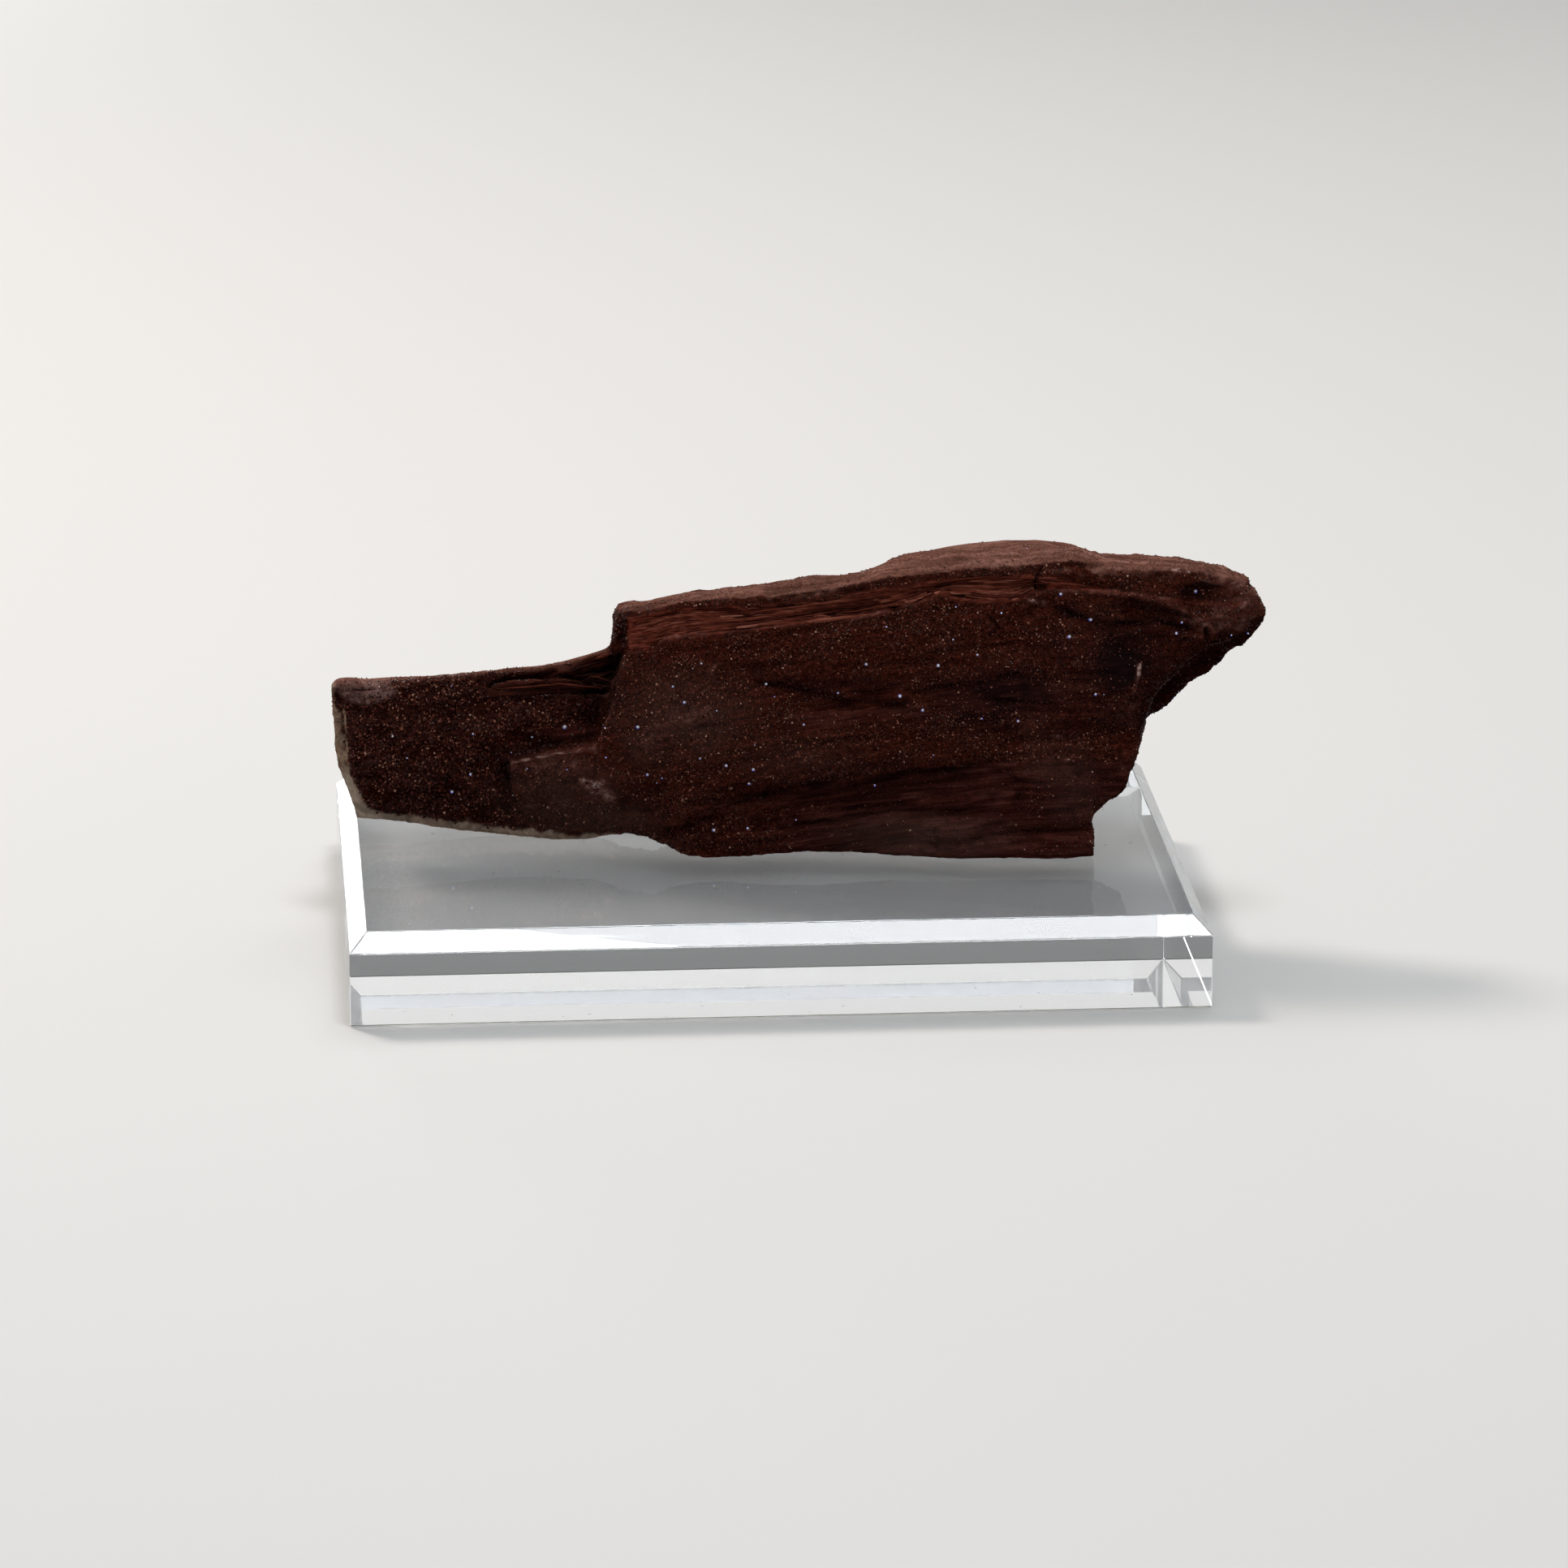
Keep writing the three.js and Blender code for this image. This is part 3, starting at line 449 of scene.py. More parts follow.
# Left of the ledge, the face runs up to the top edge with only a shallow step below it.
ALONG, THROUGH, UP = range(3)
upper_left = steps(h, 31.7, 32.5) * (1 - steps(u, -58.5, -56)) * steps(u, -89.5, -86.5)
wood[:, THROUGH] += upper_left * (np.interp(v, [1.4, 5.5, 9.5], [1.4, 2.3, 9.5]) - v)
# The back edge and the one below the overhang are weathered round, and so is the top left corner.
OVERHANG = [(81, 32), (86, 37.5), (92, 42.5), (98, 46.5), (103, 50)]
TOP_LEFT = [(-88, 32), (-80, 32.8), (-68, 33.8), (-60, 34.6)]
ROUNDINGS = 12
rounded = steps(v, 3, 6) * steps(normal[:, 2], -0.4, 0.1) * (1 - steps(u, 100, 104))
rounded = np.maximum.reduce([
    rounded, near_line(u, h, OVERHANG, 3.0), front * near_line(u, h, TOP_LEFT, 3.0),
])
for _ in range(ROUNDINGS):
    wood += 0.8 * rounded[:, None] * (np.stack([spread(axis, 1) for axis in wood.T], axis=1) - wood)
wood += (brow * (0.24 * lumps + 0.2 * broad))[:, None] * normal

# The whole is then trued: the crest's back edge by these heights along it, the left end out, its
# lower corner down, and the right end to its blunt point and its overhang.
BACK_EDGE = [
    (-30, 0), (-26, -0.5), (-20, -0.8), (-10, -1.1), (0, -1.4), (12, -1.5), (24, -1.6), (28, 0), (58, 0),
    (64, -0.5), (70, -1.5), (78, -1.0), (85, -0.6), (92, -0.7), (97, 0),
]
crest = steps(h, crest_foot - 3, crest_foot + 1) * steps(v, -5, 6)
wood[:, UP] += np.interp(u, *zip(*BACK_EDGE)) * crest
wood[:, ALONG] -= 0.7 * (1 - steps(u, -90, -84)) * steps(h, 6, 12) * (1 - steps(h, 32, 36))
wood[:, UP] -= 1.1 * (1 - steps(u, -86, -72)) * (1 - steps(h, 6, 14))
# Then by ovals: the middle of each, its reach, which way it moves, and how far.
TRUED = [
    ((-52, 1.5), (36, 8), UP, -0.8),
    ((-88, 34.4), (4.5, 3), UP, 0.9),
    ((102, 58), (3.5, 4), UP, 0.7),
    ((105.4, 56.2), (3.4, 2.4), ALONG, -1.5),
    ((76, 13), (6, 5), ALONG, 1.2),
]
for middle, reach, way, move in TRUED:
    wood[:, way] += move * near_spot(u, h, middle, reach)
wood[:, UP] += 1.7 * steps(-normal[:, 2], 0.1, 0.6) * near_spot(u, h, (90, 36), (11, 9))
# It rests on its high points: the lowest stretch closes the gap to the block.
GAP = 0.3
CLEARANCE = 0.03
low = 1 - steps(wood[:, UP], 0.0, 3.5)
wood[:, UP] = np.maximum(wood[:, UP] - GAP * low, CLEARANCE)
xyz = (wood + lift) @ turn / 1000
shape.vertices.foreach_set("co", xyz.astype(np.float32).ravel())
shape.update()
normal = vectors(shape, "normal") @ turn.T


def sunk(times):
    """How far each vertex lies below its surroundings, in mm."""
    return sum((spread(wood[:, i], times) - wood[:, i]) * normal[:, i] for i in range(3))


# Painted shade darkens the hollows, close ones and wide ones, and edges that stand out are worn pale.
close, wide = sunk(6), sunk(50)
hollow = np.clip(0.8 * steps(close, 0.03, 0.26) + 0.6 * steps(wide, 0.5, 1.8), 0, 1)
hollow *= 1 - 0.9 * near_line(u, h, [(68, 57.4), (78, 56), (90, 52)], 5)
hollow *= 1 - 0.85 * near_spot(u, h, (-40, 9), (24, 12))
hollow *= (1 - 0.9 * bald) * (0.2 + 0.8 * steps(u, -88, -85.5))
worn = np.clip(steps(-close, 0.05, 0.24) + 0.2 * steps(-wide, 0.3, 1.2), 0, 1)
worn *= (1 - 0.9 * smooth) * (1 - under)
# The topside is painted lighter where it lies open to the sky, as top light on its chalky pink, but not on
# the ledges of the front.
topside = steps(normal[:, 2], 0.3, 0.8) * (1 - 0.6 * steps(wide, 0.2, 1.0)) * (1 - 0.8 * torn)
topside *= 1 - near_line(u, h, [(-54, 18), (-46, 21.5), (-33, 23.5)], 3.5)
topside *= 1 - 0.85 * (1 - steps(u, -36, -31)) * (1 - steps(v, 3, 6.5))
on_crest = steps(h, crest_foot + 0.2, crest_foot + 1.8)
topside *= np.maximum.reduce([steps(v, -4, 2), on_crest, steps(-u, 31, 32)])

# Pale scuffs, and painted highlights on thin lit edges and lips, as lines with how far they reach and how
# pale.
PALE_AND_LIT = [
    ([(-37.2, 14.3), (-33.4, 14.6)], 2.4, 1.1),
    ([(-35.2, 12.4), (-32.0, 11.6)], 3.0, 0.9),
    ([(-52, 17.0), (-46, 17.6), (-38, 18.6)], 3.4, 0.45),
    (PLATE_EDGE, 0.9, 1.0),
    (TONGUE_EDGE, 0.8, 0.9),
    ([(79.7, 41.6), (79.2, 38.6)], 0.7, 1.5),
    ([(78.9, 37.4), (78.5, 35.6)], 0.5, 1.0),
    ([(79.7, 33.2), (77.5, 31.6)], 0.9, 0.7),
    ([(61.5, 26.6), (63, 26.2)], 1.2, 0.7),
    ([(63.4, 22), (65, 21.4)], 1.1, 0.7),
    ([(58, 27), (62, 22), (67, 19)], 6.5, 0.28),
    ([(46, 8.6), (50.5, 9)], 1.1, 0.4),
    ([(30, 1.6), (42, 2.4), (52, 4)], 3.0, 0.4),
    ([(-24, 26), (-20, 29.5), (-11.5, 32.2)], 4.6, 0.42),
    ([(-10.4, 40), (-9.2, 41.6)], 0.8, 0.6),
    ([(56.4, 56.0), (59.4, 55.2)], 0.9, 1.3),
    ([(86.4, 61.7), (89.8, 61.4)], 0.7, 1.3),
    ([(97.6, 60.6), (100.8, 59.4)], 0.8, 1.4),
    ([(97.4, 51.6), (101.5, 50.4), (104, 50)], 1.6, 0.55),
    ([(95, 59.6), (102, 57)], 6, 0.62),
    ([(96, 51.8), (104, 53.6)], 4, 0.5),
    ([(88.6, 51.2), (95, 49.6), (101.6, 49.0)], 2.4, 0.6),
    ([(85.6, 54.8), (88.6, 53.0)], 1.5, 0.6),
    ([(-28.5, 44.6), (-20, 46.8), (-6.8, 48.9), (10.2, 50.9), (21.5, 52.1), (32.8, 54.8)], 0.9, 0.6),
    ([(59, 57.9), (70, 57.8), (78, 57.1), (86.6, 55.8)], 0.6, 0.6),
    ([(4, 30.4), (16, 31.6), (35, 33.1)], 0.5, 0.5),
]
pale = np.zeros(count)
for line, reach, amount in PALE_AND_LIT:
    pale = np.maximum(pale, amount * near_line(u, wander, line, reach))
pale *= 1 - steps(v, -6, -3) * near_line(u, h, PLATE_EDGE, 4)
facing = steps(-normal[:, 1], 0.15, 0.6)
flaky = 0.7 + 0.9 * scatter(wood, (1.6, 1.6, 0.6), shift=53.0)
pale = np.clip(pale * facing * np.clip(flaky + 0.3 * patchy, 0.15, 1.3), 0, 1)
# Purple-grey stone, and stone that is dull with dust, as ovals with how strong each is.
GREY = [
    ((75.0, 42), (13, 13), 1.3), ((53, 35.8), (24, 9), 0.9), ((74, 31), (12, 8), 0.6),
    ((46, 31), (20, 7), 0.75), ((38, 38), (9, 6), 0.6), ((62, 45.5), (10, 7), 0.65), ((68, 16), (12, 7), 0.5),
]
DUSTY = [
    ((-42, 12.5), (19, 11), 1.0), ((-38, 6.5), (26, 8), 1.3), ((-16, 31), (22, 14), 0.85),
    ((-24, 24), (9, 8), 0.7), ((33, 4.5), (28, 8), 1.2), ((8, 22), (22, 9), 0.4),
    ((62, 20), (12, 7), 0.5), ((66, 11), (10, 8), 0.4),
]
grey, dusty = (
    np.maximum.reduce([amount * near_spot(u, h, middle, reach) for middle, reach, amount in ovals])
    for ovals in (GREY, DUSTY)
)
grey = front * np.clip(grey * (1 + 0.5 * patchy), 0, 1)
dusty = np.clip(dusty * (1 + 0.35 * patchy), 0, 1) * front
bleached = np.maximum(near_line(u, h, RIM[3:7], 4.5), 0.45 * near_line(u, h, RIM[6:], 4)) * crust
slip = 0.3 * near_spot(u, h, (-41, 24.4), (9, 2.4)) * front
red = np.clip(np.maximum.reduce([0.9 * pit, slip, facing * np.maximum(band, 0.45 * torn)]), 0, 1)


def store(mesh, **masks):
    """Keeps one value of each mask for every vertex, for the material to read."""
    for name, values in masks.items():
        layer = mesh.attributes.new(name, "FLOAT", "POINT")
        layer.data.foreach_set("value", values.ravel().astype(np.float32))


store(
    shape, crust=crust, druse=druse, dark=dark, pale=pale, grey=grey, red=red, smooth=smooth, bald=bald,
    topside=topside, hollow=hollow, worn=worn, left_face=left_face, dusty=dusty, bleached=bleached,
)
shape.attributes.new("grain", "FLOAT_VECTOR", "POINT").data.foreach_set(
    "vector", grain.astype(np.float32).ravel()
)

# Silicified wood, split and weathered: dull dark red-brown, with darker and redder streaks along
# the grain. Between the crystals lies a finer quartz skin, each grain with its own depth and tilt.
# Bare grain is redder, the top is chalky pink and painted lighter as if lit from above, and the trunk's rind
# is a dull grey-brown crust.
stone, tree = finish("silicified_wood")
along = node(tree, "ShaderNodeAttribute", attribute_name="grain").outputs["Vector"]
place = node(tree, "ShaderNodeTexCoord").outputs["Object"]
millimetres = node(tree, "ShaderNodeMapping", {"Vector": place, "Scale": (1000, 1000, 1000)})
# Bands of colour 12 mm long and 3 mm high, streaks 20 by 1.1 mm, threads 11 by 0.4 mm, a mottle of
# 1.4 mm and a grit of 0.5 mm.
banded, streaked, threaded = (
    node(tree, "ShaderNodeMapping", {"Vector": along, "Scale": per_mm})
    for per_mm in ((0.08, 0.3, 0.33), (0.05, 0.7, 0.9), (0.09, 2.0, 2.6))
)
bands, streaks, threads, mottle, grit = (
    node(tree, "ShaderNodeTexNoise", {"Vector": over, "Scale": per_mm, "Detail": detail, "Roughness": rough})
    for over, per_mm, detail, rough in (
        (banded, 1.0, 5.0, 0.65),
        (streaked, 1.0, 7.0, 0.7),
        (threaded, 1.0, 5.0, 0.75),
        (millimetres, 0.7, 6.0, 0.7),
        (millimetres, 1.9, 4.0, 0.7),
    )
)
# Grains of the quartz skin, about 0.4 mm across.
grains = node(tree, "ShaderNodeTexVoronoi", {"Vector": millimetres, "Scale": 2.5})
kinds = node(tree, "ShaderNodeSeparateColor", {0: grains.outputs["Color"]})
skin = node(tree, "ShaderNodeAttribute", attribute_name="druse").outputs["Fac"]
paleness = node(tree, "ShaderNodeAttribute", attribute_name="pale").outputs["Fac"]

# The stone's colours, each as a ramp over one of the patterns.
body, streak, split, rosy, lit_chalk, rind, flake_and_highlight, scab = (
    node(tree, "ShaderNodeValToRGB", {0: over}, stops=stops)
    for over, stops in (
        (bands, [(0.34, "#25100d"), (0.46, "#39160f"), (0.56, "#3b1b13"), (0.68, "#50251b")]),
        (streaks, [(0.36, "#160605"), (0.5, "#401910"), (0.66, "#622d21")]),
        (threads, [(0.34, "#290d09"), (0.48, "#65281d"), (0.64, "#9e5746")]),
        (streaks, [(0.36, "#240f0d"), (0.5, "#482420"), (0.66, "#70443e")]),
        (streaks, [(0.34, "#57382f"), (0.5, "#7b5347"), (0.66, "#9c7266")]),
        (mottle, [(0.34, "#685447"), (0.5, "#957b67"), (0.66, "#bba48c")]),
        (paleness, [(0.25, "#6a4039"), (0.65, "#966c62"), (1.0, "#c8aca4")]),
        (mottle, [(0.34, "#5a3e38"), (0.5, "#86655e"), (0.66, "#a98c84")]),
    )
)
# How much darker or lighter each thread, mottled patch and grain of quartz is.
by_thread, by_patch, by_grain = (
    node(tree, "ShaderNodeCombineColor", {0: gain, 1: gain, 2: gain})
    for gain in (
        node(tree, "ShaderNodeMapRange", {0: threads, 1: 0.34, 2: 0.66, 3: 0.72, 4: 1.28}),
        node(tree, "ShaderNodeMapRange", {0: mottle, 1: 0.36, 2: 0.66, 3: 0.74, 4: 1.34}),
        node(tree, "ShaderNodeMapRange", {0: kinds, 3: 0.45, 4: 1.6}),
    )
)
MULTIPLIED = {"data_type": "RGBA", "blend_type": "MULTIPLY"}
lit_chalk = node(tree, "ShaderNodeMix", {0: 0.55, 6: lit_chalk, 7: by_patch}, **MULTIPLIED).outputs[2]
colour = node(tree, "ShaderNodeMix", {0: 0.5, 6: body, 7: streak}, data_type="RGBA").outputs[2]
for amount, by in [(0.8, by_thread), (0.8, by_patch), (skin, by_grain)]:
    colour = node(tree, "ShaderNodeMix", {0: amount, 6: colour, 7: by}, **MULTIPLIED).outputs[2]
# A few grains are painted paler at their middle, as tiny glints.
bright = node(tree, "ShaderNodeMapRange", {0: kinds.outputs[1], 1: 0.86, 2: 1.0})
core = node(tree, "ShaderNodeMapRange", {0: grains, 1: 0.45, 2: 0.25})
glint_speck = node(tree, "ShaderNodeMath", {0: bright, 1: core}, operation="MULTIPLY")
glint_speck = node(tree, "ShaderNodeMath", {0: glint_speck, 1: skin}, operation="MULTIPLY")
colour = node(tree, "ShaderNodeMix", {0: glint_speck, 6: colour, 7: "#86503e"}, data_type="RGBA").outputs[2]

# Each coat: the attribute that says where it lies, how much of it covers, and its colour.
for where, cover, over in [
    ("left_face", 0.6, "#110504"),
    ("smooth", 0.6, rosy),
    ("red", 0.95, split),
    ("grey", 0.84, "#110c0f"),
    ("dusty", 0.3, "#6a554c"),
    ("crust", 1.0, rind),
    ("bleached", 0.55, "#bcae9f"),
    ("bald", 0.75, scab),
    # Painted top light on faces turned up.
    ("topside", 0.85, lit_chalk),
    ("worn", 0.2, "#764639"),
    # Pale scuffs, and painted highlights on lit edges and lips.
    ("pale", 0.9, flake_and_highlight),
    # Painted shade in the hollows.
    ("hollow", 0.55, "#120705"),
    # Painted shade, and darker stone.
    ("dark", 0.88, "#0a0303"),
]:
    mask = node(tree, "ShaderNodeAttribute", attribute_name=where).outputs["Fac"]
    cover = node(tree, "ShaderNodeMath", {0: mask, 1: cover}, operation="MULTIPLY")
    colour = node(tree, "ShaderNodeMix", {0: cover, 6: colour, 7: over}, data_type="RGBA").outputs[2]

# The relief too fine for the mesh: grit and threads, calmer on the chalky top, and tilted grains.
rough = node(tree, "ShaderNodeMapRange", {0: kinds.outputs[2], 3: 0.95, 4: 0.55})
height = node(tree, "ShaderNodeMath", {0: grit, 1: threads}, operation="ADD")
calm = node(tree, "ShaderNodeAttribute", attribute_name="topside").outputs["Fac"]
calm = node(tree, "ShaderNodeMapRange", {0: calm, 3: 1.0, 4: 0.35})
height = node(tree, "ShaderNodeMath", {0: height, 1: calm}, operation="MULTIPLY")
bumped = node(tree, "ShaderNodeBump", {"Height": height, "Strength": 0.9, "Distance": 0.0004})
tilt = node(
    tree, "ShaderNodeVectorMath", {0: grains.outputs["Color"], 1: (0.5, 0.5, 0.5)}, operation="SUBTRACT"
)
tilt = node(tree, "ShaderNodeVectorMath", {0: tilt, "Scale": skin}, operation="SCALE")
facet = node(tree, "ShaderNodeVectorMath", {0: bumped, 1: tilt}, operation="ADD")
facet = node(tree, "ShaderNodeVectorMath", {0: facet}, operation="NORMALIZE")
surface = node(
    tree,
    "ShaderNodeBsdfPrincipled",
    {"Base Color": colour, "Roughness": rough, "IOR": 1.5, "Specular IOR Level": 0.0, "Normal": facet},
)
node(tree, "ShaderNodeOutputMaterial", {"Surface": surface})

for polygon in shape.polygons:
    polygon.use_smooth = True
specimen = piece("petrified_wood_splinter", shape, stone)
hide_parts("petrified_wood")

# ---------------------------------------------------------------------------------------------
# Torn grain: where a sheet tore off instead of flaking, its fibres stand out as blades and
# splinters. They are turned to stone with the rest, and grow out of the wood at their foot.

shape.calc_loop_triangles()
corners = np.empty(len(shape.loop_triangles) * 3, dtype=np.int32)
shape.loop_triangles.foreach_get("vertices", corners)
corners = corners.reshape(-1, 3)
face_of_wood = BVHTree.FromPolygons(wood.tolist(), corners.tolist())
# A blade's width at places along it, and the corners of its section.
TAPER = np.array([0.12, 0.7, 1.0, 0.85, 0.55, 0.1])
SECTION = np.array([(1, 0), (0, 1), (-1, 0), (0, -1)])


def depth_at(place_u, place_h):
    """How far back the front's surface lies, in mm, at a place along and up the wood."""
    hit = face_of_wood.ray_cast(Vector((place_u, -60, place_h)), Vector((0, 1, 0)))[0]
    return hit[1] if hit else np.nan


def blades(name, courses, width, thickness, tone, material):
    """Joins tapered blades into one mesh. A course is a blade's middle line, in mm."""
    number, rings = courses.shape[:2]
    run = np.gradient(courses, axis=1)
    run /= np.linalg.norm(run, axis=2, keepdims=True)
    across = np.cross((0, -1, 0), run)
    across /= np.linalg.norm(across, axis=2, keepdims=True)
    out = np.cross(run, across)
    breadth, bulk = ((TAPER * size[:, None])[:, :, None, None] for size in (width / 2, thickness))
    ring = courses[:, :, None] + breadth * SECTION[:, :1] * across[:, :, None]
    ring += bulk * SECTION[:, 1:] * out[:, :, None]
    points = (ring.reshape(-1, 3) + lift) @ turn / 1000
    sides = len(SECTION)
    faces = [[sides - 1 - s for s in range(sides)], [(rings - 1) * sides + s for s in range(sides)]]
    for k in range(rings - 1):
        for s in range(sides):
            t = (s + 1) % sides
            faces.append([k * sides + s, k * sides + t, (k + 1) * sides + t, (k + 1) * sides + s])
    faces = np.arange(number)[:, None, None] * rings * sides + np.array(faces)
    mesh = bpy.data.meshes.new(name)
    mesh.from_pydata(points.tolist(), [], faces.reshape(-1, 4).tolist())
    store(mesh, tone=np.repeat(tone, rings * sides))
    for polygon in mesh.polygons:
        polygon.use_smooth = True
    piece(name, mesh, material)


# Split grain: redder and glossier than the weathered faces. Each blade has its own shade, with
# threads 7 mm long and 0.5 mm wide.
fibrous, tree = finish("split_grain")
tone = node(tree, "ShaderNodeAttribute", attribute_name="tone").outputs["Fac"]
place = node(tree, "ShaderNodeTexCoord").outputs["Object"]
fine = node(tree, "ShaderNodeMapping", {"Vector": place, "Scale": (150, 2000, 2600)})
fine = node(tree, "ShaderNodeTexNoise", {"Vector": fine, "Scale": 1.0, "Detail": 3.0})
shade = node(tree, "ShaderNodeMath", {0: fine, 1: 0.7, 2: -0.35}, operation="MULTIPLY_ADD")
shade = node(tree, "ShaderNodeMath", {0: shade, 1: tone}, operation="ADD")
colour = node(
    tree,
    "ShaderNodeValToRGB",
    {0: shade},
    stops=[(0.0, "#140605"), (0.35, "#3b1711"), (0.7, "#6b3426"), (1.0, "#98604f")],
)
surface = node(
    tree,
    "ShaderNodeBsdfPrincipled",
    {"Base Color": colour, "Roughness": 0.7, "IOR": 1.5, "Specular IOR Level": 0.02},
)
node(tree, "ShaderNodeOutputMaterial", {"Surface": surface})

# Fibres of the bare band, 5 to 26 mm long, follow it from the broken step to the crest's right.
BAND_FIBRES = 420
BAND_CRACK, BAND_END = 57.2, 68
rng = np.random.default_rng(11)
start = rng.uniform(-28.2, 58, BAND_FIBRES)
span = rng.uniform(5, 26, BAND_FIBRES)
rise = rng.uniform(0.02, 0.98, BAND_FIBRES)
stations = start[:, None] + span[:, None] * np.linspace(0, 1, len(TAPER))
# Those left of the crack end at it.
stations = np.minimum(stations, np.where(start < BAND_CRACK - 1.2, BAND_CRACK, BAND_END)[:, None])
foot_h, roof_h = (np.interp(stations, *zip(*line)) for line in (PLATE_TOP, CREST_FOOT))
heights = foot_h + 0.2 + rise[:, None] * np.maximum(roof_h - foot_h - 0.5, 0.1)
heights += np.cumsum(rng.normal(0, 0.09, stations.shape), axis=1)
places = np.stack([stations, heights], axis=2).tolist()
depths = np.array([[depth_at(*spot) for spot in line] for line in places])
kept = ~np.isnan(depths).any(axis=1) & (np.ptp(depths, axis=1) < 3.5)
courses = np.stack([stations, depths, heights], axis=2)[kept]
# A fibre bridges the hollows that it crosses, and stays half sunk where it lies on the wood.
courses[:, 1:-1, 1] = np.minimum(courses[:, 1:-1, 1], (courses[:, :-2, 1] + courses[:, 2:, 1]) / 2 + 0.1)
number = len(courses)
blades(
    "band_fibres", courses, rng.uniform(0.3, 1.1, number), rng.uniform(0.08, 0.26, number),
    rng.beta(3.6, 3.2, number), fibrous,
)

# Splinters of the ledge and the broken step: those that stand out, as their two ends (along,
# through, up), width, thickness and tone, then small ones between them.
SPLINTERS = [
    ((-57.6, 1.6, 31.7), (-33.6, 1.2, 33.5), 2.3, 0.35, 0.1),
    ((-56.2, 1.3, 33.0), (-40.0, 0.9, 34.3), 0.4, 0.22, 0.5),
    ((-44.6, 0.9, 34.5), (-33.0, 0.5, 33.4), 0.4, 0.25, 0.5),
    ((-50.0, 1.2, 32.2), (-37.0, 1.0, 32.6), 0.4, 0.22, 0.2),
    ((-43.0, 1.0, 34.6), (-42.4, 1.2, 30.8), 0.4, 0.22, 0.35),
    ((-41.5, 3.0, 36.0), (-33.6, 1.6, 39.0), 0.8, 0.3, 0.1),
    ((-40.5, 3.2, 35.0), (-32.6, 1.4, 36.6), 0.7, 0.3, 0.05),
    ((-38.5, 2.6, 34.2), (-31.8, 0.8, 35.2), 0.6, 0.25, 0.0),
    ((-36.2, 1.0, 36.2), (-31.2, -0.6, 35.2), 0.35, 0.2, 0.35),
    ((-35.2, 3.8, 38.8), (-31.0, 2.8, 40.6), 1.0, 0.5, 0.45),
]
SMALL_SPLINTERS = 40
STEP_MIDDLE = [(-56, 33.4), (-52, 34.2), (-43, 35.4), (-36, 37.2), (-31, 39)]
rng = np.random.default_rng(12)
small = []
for _ in range(SMALL_SPLINTERS):
    middle = np.array([rng.uniform(-48, -31.5), 0, 0])
    middle[UP] = np.interp(middle[ALONG], *zip(*STEP_MIDDLE)) + rng.normal(0, 0.8)
    half = rng.uniform(0.8, 3.2) * np.array([1, rng.normal(0, 0.06), rng.normal(0.15, 0.14)])
    at = depth_at(middle[ALONG], middle[UP])
    if not np.isnan(at):
        middle[THROUGH] = at - rng.uniform(-0.1, 0.1)
        sizes = rng.uniform(0.2, 0.6), rng.uniform(0.1, 0.25), 0.4 * rng.beta(2, 3)
        small.append((middle - half, middle + half, *sizes))
heads, tips, widths, thicknesses, tones = (np.array(values) for values in zip(*(SPLINTERS + small)))
step = np.linspace(0, 1, len(TAPER))[None, :, None]
courses = heads[:, None] * (1 - step) + tips[:, None] * step
courses[:, 1:-1] += rng.normal(0, 0.06, (len(heads), len(TAPER) - 2, 3))
blades("torn_splinters", courses, widths, thicknesses, tones, fibrous)

# ---------------------------------------------------------------------------------------------
# The druse: tiny six-sided quartz points that grew on the broken faces, 0.2 to 0.8 mm wide and half sunk in
# the skin. Most are clear enough to take the colour below; some are pale, partly as painted glints, and a few
# are painted bluish white as sparks of reflected light. The left face has the coarsest and thickest.

SIDES = 6
# A point is this many radii long, and its middle stands this many above the skin.
POINT_LENGTH = 1.5
POINT_MIDDLE = 0.3
# On the colours below, a spark's foot lies in the blue, and its point this much further on.
SPARK_TONE = 0.962
SPARK_POINT = 0.035

first, second, third = (xyz[corners[:, i]] for i in range(3))
cross = np.cross(second - first, third - first)
area = np.linalg.norm(cross, axis=1) / 2
top_edge = spread(steps(normal[:, 2], 0.2, 0.6), 3) * steps(v, 2, 5) * (0.2 + 0.8 * steps(u, -50, -32))
growth = (druse * (1 - 0.6 * topside) * (1 - 0.97 * top_edge) * (1 - 0.8 * bare))[corners].mean(axis=1)
clusters = np.clip(1 + 1.6 * scatter(wood, (7, 7, 3), shift=61.0), 0.2, 2)
clusters *= 1 - 0.8 * np.maximum(pit, behind)
growth *= area * steps(h[corners[:, 0]], 0.6, 2.0) * clusters[corners[:, 0]]
seen = np.maximum(front, brow)[corners].mean(axis=1)
left = np.maximum(left_face, brow)[corners].mean(axis=1)

work = bmesh.new()
bmesh.ops.create_cone(work, segments=SIDES, radius1=1.0, radius2=0.0, depth=POINT_LENGTH, cap_ends=False)
bmesh.ops.triangulate(work, faces=work.faces)
point = np.array([vert.co for vert in work.verts]) + (0, 0, POINT_MIDDLE)
point_faces = np.array([[vert.index for vert in face.verts] for face in work.faces])
work.free()

